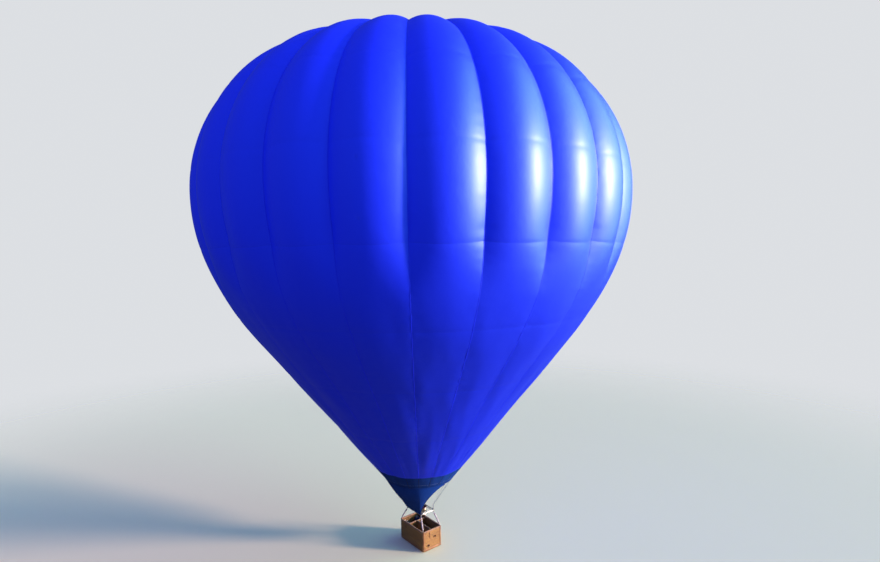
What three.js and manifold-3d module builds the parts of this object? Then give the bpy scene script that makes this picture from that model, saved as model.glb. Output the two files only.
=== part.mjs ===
// A hot air balloon: a lobed fabric envelope of 24 gores, a scoop, a gimballed double burner
// and a wicker basket. Millimetres, +Z up, +X along the basket's long side.
// The origin is the centre of the envelope's widest circle, where the air carries the balloon.
import * as THREE from "three";
import { mergeVertices } from "three/addons/utils/BufferGeometryUtils.js";
import Module from "manifold-3d";

const wasm = await Module();
wasm.setup();

// Driving dimensions
const GAP = 0.3;
const GORES = 24;
const LOBE_STEPS = 3;
const SHELL = 10;
const WIDEST_RADIUS = 10800;
const UPPER_ARC = { radius: 7420, turn: 66.5 };
const LOWER_ARCS = [
  { radius: 9140, turn: 24.2 },
  { radius: 15300, turn: 14.1 },
];
const LOBE_DEPTH = 0.035;
const LOBE_FADE = { from: -1000, to: -10500, left: 0.1 };
const VENT_RADIUS = 2500;
const VALVE_RADIUS = 2900;
const VALVE_DROP = 16;
const CROWN_RING = { inner: 120, outer: 160, height: 40 };
const TAPE_WIDTH = 30;
const TAPE_GAP = 1.3;
const HUB_RADIUS = 260;
const MOUTH_Z = -14800;
const BAND_HEIGHT = 1020;
const SCOOP = { end: 97.5, corner: 52.5, step: 15, rows: 3, bulge: 90, curve: 0.9, trim: 0.96 };
const FRAME = { length: 1300, width: 900, z: -16700, corner: 110, tube: 46 };
const GIMBAL = { length: 1100, width: 700, corner: 70, tube: 30, pin: 20, hole: 21 };
const CAN = { radius: 180, wall: 8, height: 400, spread: 250, foot: -200 };
const LUG = { height: 70, width: 60, thickness: 12, hole: 15 };
const LINK = { width: 70, height: 130, bar: 12 };
const WIRE = 8;
const BASKET = { length: 2100, width: 1250, corner: 110, rim: -17450, floor: -18510, steps: 4 };
const WALL = 45;
const BAND = { thickness: 8, height: 110 };
const RUNNER = { width: 70, height: 40, length: 1700 };
const FLOOR_THICKNESS = 25;
const RIM = { width: 90, height: 80, bevel: 24, proud: 20 };
const PARTITION = { x: -330, thickness: 35, top: -17560 };
const CYLINDER = { radius: 145, height: 880, shoulder: 110 };

const radians = THREE.MathUtils.degToRad;

// Colours: [colour, roughness, metalness]
const FINISH = {
  blue: [0x1018c8, 0.5, 0],
  navy: [0x101a48, 0.6, 0],
  tape: [0x0c1290, 0.6, 0],
  steel: [0xc9c8bd, 0.35, 0.9],
  brass: [0xb89a5a, 0.4, 0.9],
  wicker: [0xb98a55, 0.8, 0],
  hide: [0x6b3f22, 0.6, 0],
  suede: [0xcdbfb8, 0.8, 0],
  timber: [0x9a7142, 0.7, 0],
  jacket: [0x23263a, 0.8, 0],
};

const balloon = new THREE.Group();

function add(name, geometry, finish) {
  const [color, roughness, metalness] = FINISH[finish];
  const mesh = new THREE.Mesh(geometry, new THREE.MeshStandardMaterial({ color, roughness, metalness }));
  mesh.name = name;
  balloon.add(mesh);
}

// A geometry with its shared corners merged, and only its positions left.
function welded(geometry) {
  const bare = geometry.clone();
  bare.deleteAttribute("normal");
  bare.deleteAttribute("uv");
  return mergeVertices(bare, 1e-3);
}

function solid(geometry) {
  const g = welded(geometry);
  const vertProperties = new Float32Array(g.attributes.position.array);
  const triVerts = new Uint32Array(g.index.array);
  return new wasm.Manifold(new wasm.Mesh({ numProp: 3, vertProperties, triVerts }));
}

function geometryOf(manifold) {
  const mesh = manifold.getMesh();
  const g = new THREE.BufferGeometry();
  g.setAttribute("position", new THREE.BufferAttribute(mesh.vertProperties, 3));
  g.setIndex(new THREE.BufferAttribute(mesh.triVerts, 1));
  return g;
}

function joined(geometries) {
  return geometries.map(solid).reduce((whole, next) => whole.add(next));
}

function union(...geometries) {
  return geometryOf(joined(geometries));
}

function cut(geometry, ...cutters) {
  return geometryOf(cutters.map(solid).reduce((left, cutter) => left.subtract(cutter), solid(geometry)));
}

// A geometry moved by a function of each of its corners.
function shaped(geometry, place) {
  const g = welded(geometry);
  const p = g.attributes.position;
  const corner = new THREE.Vector3();
  for (let i = 0; i < p.count; i++) {
    place(corner.fromBufferAttribute(p, i));
    p.setXYZ(i, corner.x, corner.y, corner.z);
  }
  return g;
}

function box(x, y, z, sx, sy, sz) {
  return new THREE.BoxGeometry(sx, sy, sz).translate(x, y, z);
}

// A profile of [radius, z] points turned about Z.
function turned(profile, steps) {
  const points = profile.map(([r, z]) => new THREE.Vector2(r, z));
  return new THREE.LatheGeometry(points, steps).rotateX(Math.PI / 2);
}

// A straight round bar between two points.
function bar(from, to, radius, sides) {
  const line = new THREE.Vector3().subVectors(to, from);
  const along = line.clone().normalize();
  const turn = new THREE.Quaternion().setFromUnitVectors(new THREE.Vector3(0, 1, 0), along);
  const middle = new THREE.Vector3().addVectors(from, to).multiplyScalar(0.5);
  return new THREE.CylinderGeometry(radius, radius, line.length(), sides)
    .applyQuaternion(turn)
    .translate(middle.x, middle.y, middle.z);
}

function roundedRectangle(length, width, corner, outline = new THREE.Shape()) {
  const x = length / 2;
  const y = width / 2;
  outline.moveTo(x - corner, -y);
  outline.absarc(x - corner, corner - y, corner, -Math.PI / 2, 0, false);
  outline.absarc(x - corner, y - corner, corner, 0, Math.PI / 2, false);
  outline.absarc(corner - x, y - corner, corner, Math.PI / 2, Math.PI, false);
  outline.absarc(corner - x, corner - y, corner, Math.PI, Math.PI * 1.5, false);
  outline.closePath();
  return outline;
}

// A rounded rectangular ring standing from z = bottom to top, its edges chamfered by bevel.
function ring(length, width, corner, thickness, bottom, top, bevel = 0, steps = 3) {
  const outer = roundedRectangle(length - 2 * bevel, width - 2 * bevel, corner - bevel);
  const hole = thickness - bevel;
  outer.holes.push(roundedRectangle(length - 2 * hole, width - 2 * hole, corner - hole, new THREE.Path()));
  return new THREE.ExtrudeGeometry(outer, {
    depth: top - bottom - 2 * bevel,
    curveSegments: steps,
    bevelEnabled: bevel > 0,
    bevelThickness: bevel,
    bevelSize: bevel,
    bevelSegments: 1,
  }).translate(0, 0, bottom + bevel);
}

function plate(length, width, corner, bottom, top) {
  return new THREE.ExtrudeGeometry(roundedRectangle(length, width, corner), {
    depth: top - bottom,
    curveSegments: 4,
    bevelEnabled: false,
  }).translate(0, 0, bottom);
}

// The envelope's section. A length measured along the skin up from the widest circle
// gives the radius and height there, and the outward normal, along the crest of a lobe.
const UPPER_END = UPPER_ARC.radius * radians(UPPER_ARC.turn);
const UPPER_CENTRE = WIDEST_RADIUS - UPPER_ARC.radius;
const crownAngle = radians(UPPER_ARC.turn);
const CROWN_RADIUS = UPPER_CENTRE / Math.cos(crownAngle) + UPPER_ARC.radius;
const CROWN_CENTRE_Z = -UPPER_CENTRE * Math.tan(crownAngle);

function skinAt(length) {
  if (length >= UPPER_END) {
    const a = crownAngle + (length - UPPER_END) / CROWN_RADIUS;
    return arcPoint(0, CROWN_CENTRE_Z, CROWN_RADIUS, a);
  }
  if (length >= 0) return arcPoint(UPPER_CENTRE, 0, UPPER_ARC.radius, length / UPPER_ARC.radius);
  let left = -length;
  let angle = 0;
  let centreR = WIDEST_RADIUS;
  let centreZ = 0;
  for (const { radius, turn } of LOWER_ARCS) {
    const cr = centreR - radius * Math.cos(angle);
    const cz = centreZ + radius * Math.sin(angle);
    const here = Math.min(left, radius * radians(turn));
    angle += here / radius;
    left -= here;
    centreR = cr + radius * Math.cos(angle);
    centreZ = cz - radius * Math.sin(angle);
    if (left <= 0) break;
  }
  const nr = Math.cos(angle);
  const nz = -Math.sin(angle);
  return { r: centreR + left * nz, z: centreZ - left * nr, nr, nz };
}

function arcPoint(centreR, centreZ, radius, angle) {
  const nr = Math.cos(angle);
  const nz = Math.sin(angle);
  return { r: centreR + radius * nr, z: centreZ + radius * nz, nr, nz };
}

const CONE_ANGLE = radians(LOWER_ARCS[0].turn + LOWER_ARCS[1].turn);
const CONE_START = -LOWER_ARCS.reduce((sum, arc) => sum + arc.radius * radians(arc.turn), 0);
const MOUTH = CONE_START + (MOUTH_Z - skinAt(CONE_START).z) / Math.cos(CONE_ANGLE);
const BAND_TOP = MOUTH + BAND_HEIGHT;
const ventLength = (radius) => UPPER_END + CROWN_RADIUS * (Math.acos(radius / CROWN_RADIUS) - crownAngle);

// How deep the seams lie below the crests at a point of the section.
function seamDepth({ r, z }) {
  const fade = THREE.MathUtils.smoothstep(-z, -LOBE_FADE.from, -LOBE_FADE.to);
  const mouth = THREE.MathUtils.smoothstep(z, MOUTH_Z, MOUTH_Z + BAND_HEIGHT);
  return LOBE_DEPTH * r * (1 - (1 - LOBE_FADE.left) * fade) * mouth;
}

// The share of the seam's depth at an angle about Z: 0 on a crest, 1 on a seam.
function lobe(angle) {
  const gore = (angle / (2 * Math.PI)) * GORES;
  return (2 * (gore - Math.round(gore))) ** 2;
}

// A lobed shell between two lengths along the skin, with a level at each length listed.
function lobedShell(lengths, offset = 0, steps = LOBE_STEPS, thickness = SHELL) {
  const outer = lengths.map(skinAt);
  const inner = [...outer].reverse();
  const profile = [
    ...outer.map((s) => [s, offset]),
    ...inner.map((s) => [s, offset + thickness]),
  ];
  profile.push(profile[0]);
  const flat = profile.map(([s, depth]) => [s.r - depth * s.nr, s.z - depth * s.nz]);
  const levels = profile.map(([s, depth], i) => ({ r: flat[i][0], z: flat[i][1], s }));
  return shaped(turned(flat, GORES * steps).rotateZ(Math.PI / GORES), (p) => {
    const r = Math.hypot(p.x, p.y);
    const level = nearest(levels, r, p.z);
    sink(p, level.s, r, lobe(Math.atan2(p.y, p.x)));
  });
}

function nearest(levels, r, z) {
  const away = (l) => Math.hypot(l.r - r, l.z - z);
  return levels.reduce((best, l) => (away(l) < away(best) ? l : best));
}

// Moves a point of the crest section inwards along the skin's normal to its place in the lobe.
function sink(p, s, r, share) {
  const depth = seamDepth(s) * share;
  if (r > 1) {
    const scale = (r - depth * s.nr) / r;
    p.x *= scale;
    p.y *= scale;
  }
  p.z -= depth * s.nz;
}

// Envelope panels, from seam to seam: [name, lower seam, upper seam, levels between], with the
// seams given as lengths along the skin from the widest circle.
const PANEL = 3600;
const FIRST_SEAM = 1036;
const VENT = ventLength(VENT_RADIUS);
const PANELS = [
  ["envelope_shoulder_panels", FIRST_SEAM, FIRST_SEAM + PANEL, 2],
  ["envelope_upper_panels", FIRST_SEAM + PANEL, FIRST_SEAM + 2 * PANEL, 2],
  ["envelope_equator_panels", FIRST_SEAM - PANEL, FIRST_SEAM, 2],
  ["envelope_lower_panels", FIRST_SEAM - 2 * PANEL, FIRST_SEAM - PANEL, 2],
  ["envelope_cone_panels", FIRST_SEAM - 3 * PANEL, FIRST_SEAM - 2 * PANEL, 1],
  ["envelope_taper_panels", FIRST_SEAM - 4 * PANEL, FIRST_SEAM - 3 * PANEL, 1],
  ["envelope_throat_panels", BAND_TOP, FIRST_SEAM - 4 * PANEL, 1],
];

function levelsBetween(low, high, count) {
  const lengths = [];
  for (let i = 0; i <= count; i++) lengths.push(low + GAP + ((high - low - GAP) * i) / count);
  return lengths;
}

for (const [name, low, high, count] of PANELS) {
  add(name, lobedShell(levelsBetween(low, high, count)), "blue");
}
const crownSeam = FIRST_SEAM + 2 * PANEL;
const crownLevels = [...levelsBetween(crownSeam, ventLength(VALVE_RADIUS), 2), VENT];
add("envelope_crown_panels", lobedShell(crownLevels), "blue");
add("envelope_mouth_band", lobedShell([MOUTH, BAND_TOP]), "navy");

// Parachute valve: a lobed disc that closes the vent from inside
const valveLevels = [VALVE_RADIUS, VENT_RADIUS].map(ventLength).map(skinAt);
const apex = { r: 0, z: CROWN_CENTRE_Z + CROWN_RADIUS, nr: 0, nz: 1 };

function valveDisc() {
  const stations = [...valveLevels, apex];
  const upper = stations.map((s) => ({ s, depth: VALVE_DROP }));
  const lower = [...stations].reverse().map((s) => ({ s, depth: VALVE_DROP + SHELL }));
  const profile = [...lower, ...upper].map(({ s, depth }) => ({
    s,
    r: s.r - depth * s.nr,
    z: s.z - depth * s.nz,
  }));
  const disc = turned(profile.map(({ r, z }) => [r, z]), GORES * LOBE_STEPS).rotateZ(Math.PI / GORES);
  return shaped(disc, (p) => {
    const r = Math.hypot(p.x, p.y);
    sink(p, nearest(profile, r, p.z).s, r, lobe(Math.atan2(p.y, p.x)));
  });
}
add("parachute_valve", valveDisc(), "blue");

// Crown ring, and the load tapes that run from it across the vent
const ringBottom = apex.z - SHELL;
const { inner: ringIn, outer: ringOut, height: ringHeight } = CROWN_RING;
add(
  "crown_ring",
  turned(
    [
      [ringIn, ringBottom],
      [ringOut, ringBottom],
      [ringOut, ringBottom + ringHeight],
      [ringIn, ringBottom + ringHeight],
      [ringIn, ringBottom],
    ],
    GORES,
  ),
  "steel",
);

function seamPoint(s, depth, angle) {
  const d = seamDepth(s) + depth;
  const r = s.r - d * s.nr;
  return new THREE.Vector3(r * Math.cos(angle), r * Math.sin(angle), s.z - d * s.nz);
}

function crownTape(angle) {
  const radii = [VENT_RADIUS - TAPE_GAP, HUB_RADIUS - 20];
  const stations = radii.map(ventLength).map(skinAt);
  const steps = stations.length - 1;
  const across = new THREE.Vector3(-Math.sin(angle), Math.cos(angle), 0);
  const strip = new THREE.BoxGeometry(1, 1, 1, 1, steps, 1);
  return shaped(strip, (p) => {
    const station = Math.round((p.y + 0.5) * steps);
    const side = p.x * TAPE_WIDTH;
    const place = seamPoint(stations[station], (0.5 - p.z) * SHELL, angle);
    p.copy(place).addScaledVector(across, side);
  });
}

const hubTop = apex.z - seamDepth(skinAt(ventLength(HUB_RADIUS))) / 2;
const tapeHub = turned(
  [
    [ringOut + GAP, hubTop - SHELL],
    [HUB_RADIUS, hubTop - SHELL - 2],
    [HUB_RADIUS, hubTop - 2],
    [ringOut + GAP, hubTop],
    [ringOut + GAP, hubTop - SHELL],
  ],
  GORES,
);
const seamAngles = Array.from({ length: GORES }, (_, i) => radians((360 / GORES) * (i + 0.5)));
add("crown_load_tapes", union(tapeHub, ...seamAngles.map(crownTape)), "tape");

// Scoop: a skirt over the -Y half of the mouth, drawn down to the two corners of the burner
// frame on that side. Its free edges sweep up from those corners to the mouth.
const mouthSkin = skinAt(MOUTH);
const scoopCorner = {
  x: FRAME.length / 2 + 14,
  y: -(FRAME.width / 2 + FRAME.tube / 2 + SHELL + 8),
  z: FRAME.z + FRAME.tube / 2 + 30,
};

function scoopPoint(turn, share, depth) {
  const angle = radians(turn - 90);
  const topRadius = mouthSkin.r + 7 + SHELL - depth;
  const top = new THREE.Vector3(topRadius * Math.cos(angle), topRadius * Math.sin(angle), MOUTH_Z - GAP);
  const beyond = Math.max(0, Math.abs(turn) - SCOOP.corner);
  const past = beyond / (SCOOP.end - SCOOP.corner);
  const reach = 1 - SCOOP.trim * Math.sin((Math.PI / 2) * past) ** SCOOP.curve;
  const along = THREE.MathUtils.clamp(turn / SCOOP.corner, -1, 1);
  const back = Math.min(1, beyond / (180 - 2 * SCOOP.corner));
  const footX = along * (scoopCorner.x - depth);
  const foot = new THREE.Vector3(footX, (scoopCorner.y + depth) * (1 - 2 * back), scoopCorner.z);
  const f = share * reach;
  const point = top.lerp(foot, f);
  const out = SCOOP.bulge * 4 * f * (1 - f);
  return point.add(new THREE.Vector3(out * Math.cos(angle), out * Math.sin(angle), 0));
}

const scoopSteps = (2 * SCOOP.end) / SCOOP.step;
const scoop = shaped(new THREE.BoxGeometry(1, 1, 1, scoopSteps, 1, SCOOP.rows), (p) => {
  const turn = p.x * 2 * SCOOP.end;
  p.copy(scoopPoint(turn, 0.5 - p.z, (0.5 + p.y) * SHELL));
});
add("scoop", scoop, "navy");

// Burner frame: a rounded tube ring with a lug and a socket at each corner, and two bushes
// for the gimbal
const CORNERS = [
  ["front_left", -1, -1],
  ["front_right", 1, -1],
  ["back_right", 1, 1],
  ["back_left", -1, 1],
];
const lugX = FRAME.length / 2 - 32;
const lugY = FRAME.width / 2 - 32;
const tubeTop = FRAME.z + FRAME.tube / 2;
const tubeBottom = FRAME.z - FRAME.tube / 2;
const lugHoleZ = tubeTop + LUG.height - LUG.width / 2;

function tubeRing({ length, width, corner, tube }, z, chamfer) {
  const half = tube / 2;
  return ring(length + tube, width + tube, corner + half, tube, z - half, z + half, chamfer);
}

// A cylinder along X or Y.
function pinAlong(axis, x, y, z, radius, length, sides = 10) {
  const pin = new THREE.CylinderGeometry(radius, radius, length, sides);
  if (axis === "x") pin.rotateZ(Math.PI / 2);
  return pin.translate(x, y, z);
}

function lug(sx, sy) {
  return box(0, 0, tubeTop + LUG.height / 2 - 8, LUG.width, LUG.thickness, LUG.height + 16)
    .rotateZ(Math.atan2(sy * lugY, sx * lugX))
    .translate(sx * lugX, sy * lugY, 0);
}

function lugHole(sx, sy) {
  const turn = Math.atan2(sy * lugY, sx * lugX);
  return new THREE.CylinderGeometry(LUG.hole, LUG.hole, 4 * LUG.thickness, 8)
    .rotateZ(turn)
    .translate(sx * lugX, sy * lugY, lugHoleZ);
}

const SOCKET = { radius: 28, height: 60, sunk: 12 };
const socketBottom = tubeBottom + SOCKET.sunk - SOCKET.height;

function socket(sx, sy) {
  return new THREE.CylinderGeometry(SOCKET.radius, SOCKET.radius, SOCKET.height, 8)
    .rotateX(Math.PI / 2)
    .translate(sx * lugX, sy * lugY, socketBottom + SOCKET.height / 2);
}

const frameInside = (FRAME.length - FRAME.tube) / 2;
const bushX = frameInside - 14;
const frameBody = union(
  tubeRing(FRAME, FRAME.z, 13),
  ...CORNERS.map(([, sx, sy]) => lug(sx, sy)),
  ...CORNERS.map(([, sx, sy]) => socket(sx, sy)),
  ...[-1, 1].map((side) => pinAlong("x", side * bushX, 0, FRAME.z, 20, 34)),
);
const frameCuts = [
  ...CORNERS.map(([, sx, sy]) => lugHole(sx, sy)),
  ...[-1, 1].map((side) => pinAlong("x", side * (frameInside - 19), 0, FRAME.z, GIMBAL.hole / 2, 38)),
];
add("burner_load_frame", cut(frameBody, ...frameCuts), "steel");

// Gimbal ring: turns about X in the load frame, and carries the burners on an axis along Y
const gimbalX = (GIMBAL.length + GIMBAL.tube) / 2;
const gimbalY = (GIMBAL.width - GIMBAL.tube) / 2;
const pinLength = frameInside - gimbalX - 4;
const pinX = gimbalX + pinLength / 2 - 2;
const ENDS = [-1, 1];
const gimbalBody = union(
  tubeRing(GIMBAL, FRAME.z, 8),
  ...ENDS.map((end) => pinAlong("x", end * pinX, 0, FRAME.z, GIMBAL.pin / 2, pinLength + 4)),
  ...ENDS.map((end) => pinAlong("y", 0, end * (gimbalY - 12), FRAME.z, 20, 30)),
);
const gimbalCuts = ENDS.map((end) => pinAlong("y", 0, end * (gimbalY - 17), FRAME.z, GIMBAL.hole / 2, 34));
add("gimbal_ring", cut(gimbalBody, ...gimbalCuts), "steel");

// Burner cradle: a bar on the gimbal's Y axis, a post, and a base plate under both cans
const barHalf = gimbalY - 27 - 6;
const plateTop = FRAME.z + CAN.foot;
const PLATE_THICKNESS = 16;
const pinTip = gimbalY - 4;
const cradle = union(
  box(0, 0, FRAME.z, 60, 2 * barHalf, 44),
  box(0, 0, (FRAME.z + plateTop) / 2 - 8, 50, 60, FRAME.z - plateTop + 16),
  box(0, 0, plateTop - PLATE_THICKNESS / 2, 2 * (CAN.spread + CAN.radius), 110, PLATE_THICKNESS),
  ...[-1, 1].map((side) =>
    pinAlong("y", 0, (side * (pinTip + barHalf - 10)) / 2, FRAME.z, GIMBAL.pin / 2, pinTip - barHalf + 10),
  ),
);
add("burner_cradle", cradle, "steel");

// Each burner: an open can, a coil with its jet manifold, and a valve block with its lever
const SIDES = [
  ["left", -1],
  ["right", 1],
];

function can(x) {
  const foot = plateTop + GAP;
  const top = plateTop + CAN.height;
  const inside = CAN.radius - CAN.wall;
  return turned(
    [
      [inside, foot],
      [CAN.radius, foot],
      [CAN.radius, top - 30],
      [CAN.radius + 10, top - 24],
      [CAN.radius + 10, top],
      [inside, top],
      [inside, foot],
    ],
    24,
  ).translate(x, 0, 0);
}

const COIL = { radius: 115, tube: 9, turns: 3, rise: 240, steps: 10 };

class CoilCurve extends THREE.Curve {
  getPoint(t) {
    const angle = t * COIL.turns * 2 * Math.PI;
    return new THREE.Vector3(COIL.radius * Math.cos(angle), COIL.radius * Math.sin(angle), t * COIL.rise);
  }
}

function coil(x) {
  const section = new THREE.Shape().absarc(0, 0, COIL.tube, 0, 2 * Math.PI);
  const helix = new THREE.ExtrudeGeometry(section, {
    steps: COIL.turns * COIL.steps,
    curveSegments: 3,
    extrudePath: new CoilCurve(),
  }).translate(x, 0, plateTop + 60);
  const manifold = turned(
    [
      [0, plateTop + GAP],
      [50, plateTop + GAP],
      [50, plateTop + 40],
      [30, plateTop + 90],
      [0, plateTop + 90],
    ],
    12,
  );
  const feed = bar(
    new THREE.Vector3(x + 30, 0, plateTop + 30),
    new THREE.Vector3(x + COIL.radius + 4, 0, plateTop + 62),
    COIL.tube,
    6,
  );
  return union(helix, manifold.translate(x, 0, 0), feed);
}

function valveBlock(x) {
  const top = plateTop - PLATE_THICKNESS - GAP;
  return union(
    box(x, 0, top - 45, 90, 70, 90),
    box(x, 60, top - 60, 24, 90, 24),
    box(x, 100, top - 110, 26, 16, 120),
  );
}

for (const [side, sign] of SIDES) {
  add(`burner_can_${side}`, can(sign * CAN.spread), "steel");
  add(`burner_coil_${side}`, coil(sign * CAN.spread), "steel");
  add(`burner_valve_${side}`, valveBlock(sign * CAN.spread), "brass");
}

// Carabiners on the lugs, and six flying wires from each of them up to the mouth
function link(width, height, thickness) {
  const inside = 6;
  const outline = roundedRectangle(width, height, thickness + inside);
  const window = new THREE.Path();
  outline.holes.push(roundedRectangle(width - 2 * thickness, height - 2 * thickness, inside, window));
  return new THREE.ExtrudeGeometry(outline, { depth: thickness, curveSegments: 2, bevelEnabled: false })
    .translate(0, 0, -thickness / 2)
    .rotateX(Math.PI / 2);
}

const holeTop = lugHoleZ + LUG.hole - (LINK.bar / 2) * Math.tan(Math.PI / 8);
const linkZ = holeTop - GAP - LINK.bar + LINK.height / 2;
const THIMBLE = { width: 52, height: 74 };
const thimbleZ = linkZ + LINK.height / 2 - 2 * LINK.bar - GAP + THIMBLE.height / 2;
const ferruleZ = thimbleZ + THIMBLE.height / 2 + 20;

function wiresAt(sx, sy) {
  const x = sx * lugX;
  const y = sy * lugY;
  const turn = Math.atan2(y, x);
  const from = new THREE.Vector3(x, y, ferruleZ);
  const pieces = [
    link(THIMBLE.width, THIMBLE.height, LINK.bar).rotateZ(turn).translate(x, y, thimbleZ),
    new THREE.CylinderGeometry(26, 18, 60, 8).rotateX(Math.PI / 2).translate(x, y, ferruleZ),
  ];
  for (const angle of seamAngles) {
    const onSide = Math.cos(angle) * sx > 0 && Math.sin(angle) * sy > 0;
    if (onSide) pieces.push(wire(from, angle));
  }
  return union(...pieces);
}

// A wire to the middle of the mouth's edge at a seam, ending just short of it.
function wire(from, angle) {
  const r = mouthSkin.r - (SHELL / 2) * mouthSkin.nr;
  const z = MOUTH_Z - (SHELL / 2) * mouthSkin.nz;
  const to = new THREE.Vector3(r * Math.cos(angle), r * Math.sin(angle), z);
  const line = new THREE.Vector3().subVectors(to, from).normalize();
  const lean = -mouthSkin.nz;
  const up = new THREE.Vector3(lean * Math.cos(angle), lean * Math.sin(angle), mouthSkin.nr);
  const slant = Math.sqrt(1 - line.dot(up) ** 2);
  to.addScaledVector(line, -(GAP + (WIRE / 2) * slant));
  return bar(from, to, WIRE / 2, 6);
}

for (const [corner, sx, sy] of CORNERS) {
  const turn = Math.atan2(sy * lugY, sx * lugX) + Math.PI / 2;
  const carabiner = link(LINK.width, LINK.height, LINK.bar).rotateZ(turn);
  add(`carabiner_${corner}`, carabiner.translate(sx * lugX, sy * lugY, linkZ), "steel");
  add(`flying_wires_${corner}`, wiresAt(sx, sy), "steel");
}

// Basket wall, woven on the floor, with two footholes in each end
const wallLength = BASKET.length - 2 * BAND.thickness;
const wallWidth = BASKET.width - 2 * BAND.thickness;
const wallTop = BASKET.rim - RIM.height;
const FOOTHOLES = [
  [160, 620],
  [-280, 240],
];
const { corner: basketCorner, floor: basketFloor, steps: cornerSteps } = BASKET;
const wallRing = ring(
  wallLength,
  wallWidth,
  basketCorner,
  WALL,
  basketFloor,
  wallTop - GAP,
  0,
  cornerSteps,
);
const holes = [-1, 1].flatMap((end) =>
  FOOTHOLES.map(([y, up]) => box((end * wallLength) / 2, end * y, BASKET.floor + up, 3 * WALL, 150, 110)),
);
add("basket_wall", cut(wallRing, ...holes), "wicker");

const inLength = wallLength - 2 * WALL - 2 * GAP;
const inWidth = wallWidth - 2 * WALL - 2 * GAP;
const floorTop = BASKET.floor + FLOOR_THICKNESS;
add("basket_floor", plate(inLength, inWidth, BASKET.corner - WALL, BASKET.floor, floorTop), "timber");

const bandRing = ring(
  wallLength + 2 * (BAND.thickness + GAP),
  wallWidth + 2 * (BAND.thickness + GAP),
  BASKET.corner + BAND.thickness,
  BAND.thickness,
  BASKET.floor,
  BASKET.floor + BAND.height,
  0,
  BASKET.steps,
);
add("basket_hide_band", bandRing, "hide");

const rimRing = ring(
  wallLength + 2 * RIM.proud,
  wallWidth + 2 * RIM.proud,
  BASKET.corner + RIM.proud,
  RIM.width,
  wallTop,
  BASKET.rim,
  RIM.bevel,
  BASKET.steps,
);
add("basket_rim", rimRing, "hide");

// Wooden runners under the floor
for (const [side, y] of [
  ["left", -430],
  ["middle", 0],
  ["right", 430],
]) {
  const middle = BASKET.floor - GAP - RUNNER.height / 2;
  add(`runner_${side}`, box(0, y, middle, RUNNER.length, RUNNER.width, RUNNER.height), "timber");
}

// The partition makes a pilot's bay at the -X end and two bays for passengers
const partitionFoot = floorTop + GAP;
const partitionHeight = PARTITION.top - partitionFoot;
const longStart = PARTITION.x;
const longEnd = inLength / 2;

function partitionPiece(thickness, bottom, height, trim) {
  const z = bottom + height / 2;
  return union(
    box(PARTITION.x, 0, z, thickness, inWidth - trim, height),
    box((longStart + longEnd - trim / 2) / 2, 0, z, longEnd - trim / 2 - longStart, thickness, height),
  );
}
add("partition", partitionPiece(PARTITION.thickness, partitionFoot, partitionHeight, 0), "wicker");
const rimOverhang = RIM.width - WALL - RIM.proud;
add(
  "partition_rim",
  partitionPiece(PARTITION.thickness + 35, PARTITION.top + GAP, 60, 2 * (rimOverhang + GAP)),
  "hide",
);

// Fuel cylinders in the pilot's bay
const bayMiddle = (PARTITION.x - inLength / 2) / 2;
const cylinderX = 158;
const cylinderY = inWidth / 2 - CYLINDER.radius - 55;

function fuelCylinder(x, y) {
  const foot = floorTop + GAP;
  const shoulder = foot + CYLINDER.height - CYLINDER.shoulder;
  const profile = [
    [0, foot],
    [CYLINDER.radius - 20, foot],
    [CYLINDER.radius, foot + 25],
    [CYLINDER.radius, shoulder],
    [CYLINDER.radius * 0.75, shoulder + CYLINDER.shoulder * 0.7],
    [90, shoulder + CYLINDER.shoulder * 0.8],
    [90, foot + CYLINDER.height],
    [0, foot + CYLINDER.height],
  ];
  return turned(profile, 14).translate(x, y, 0);
}

for (const [corner, sx, sy] of CORNERS) {
  add(`fuel_cylinder_${corner}`, fuelCylinder(bayMiddle + sx * cylinderX, sy * cylinderY), "jacket");
}

// Padded uprights from the rim's corners to the sockets of the burner frame
const UPRIGHT = { rod: 16, pad: 38, bare: 70, inset: 50 };

function upright(sx, sy) {
  const foot = new THREE.Vector3(
    sx * (wallLength / 2 - UPRIGHT.inset),
    sy * (wallWidth / 2 - UPRIGHT.inset),
    BASKET.rim,
  );
  const head = new THREE.Vector3(sx * lugX, sy * lugY, socketBottom);
  const slant = new THREE.Vector3().subVectors(head, foot).angleTo(new THREE.Vector3(0, 0, 1));
  const lift = GAP + UPRIGHT.rod * Math.sin(slant);
  foot.z += lift;
  head.z -= lift;
  const line = new THREE.Vector3().subVectors(head, foot);
  const length = line.length();
  const profile = [
    [0, 0],
    [UPRIGHT.rod, 0],
    [UPRIGHT.rod, UPRIGHT.bare],
    [UPRIGHT.pad, UPRIGHT.bare + 12],
    [UPRIGHT.pad, length - UPRIGHT.bare],
    [UPRIGHT.rod, length - UPRIGHT.bare + 12],
    [UPRIGHT.rod, length],
    [0, length],
  ].map(([r, z]) => new THREE.Vector2(r, z));
  const turn = new THREE.Quaternion().setFromUnitVectors(new THREE.Vector3(0, 1, 0), line.normalize());
  return new THREE.LatheGeometry(profile, 10).applyQuaternion(turn).translate(foot.x, foot.y, foot.z);
}

for (const [corner, sx, sy] of CORNERS) {
  add(`upright_${corner}`, upright(sx, sy), "suede");
}

export default balloon;
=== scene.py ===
import math

import bmesh
import bpy
from mathutils import Matrix, Vector, noise


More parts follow.
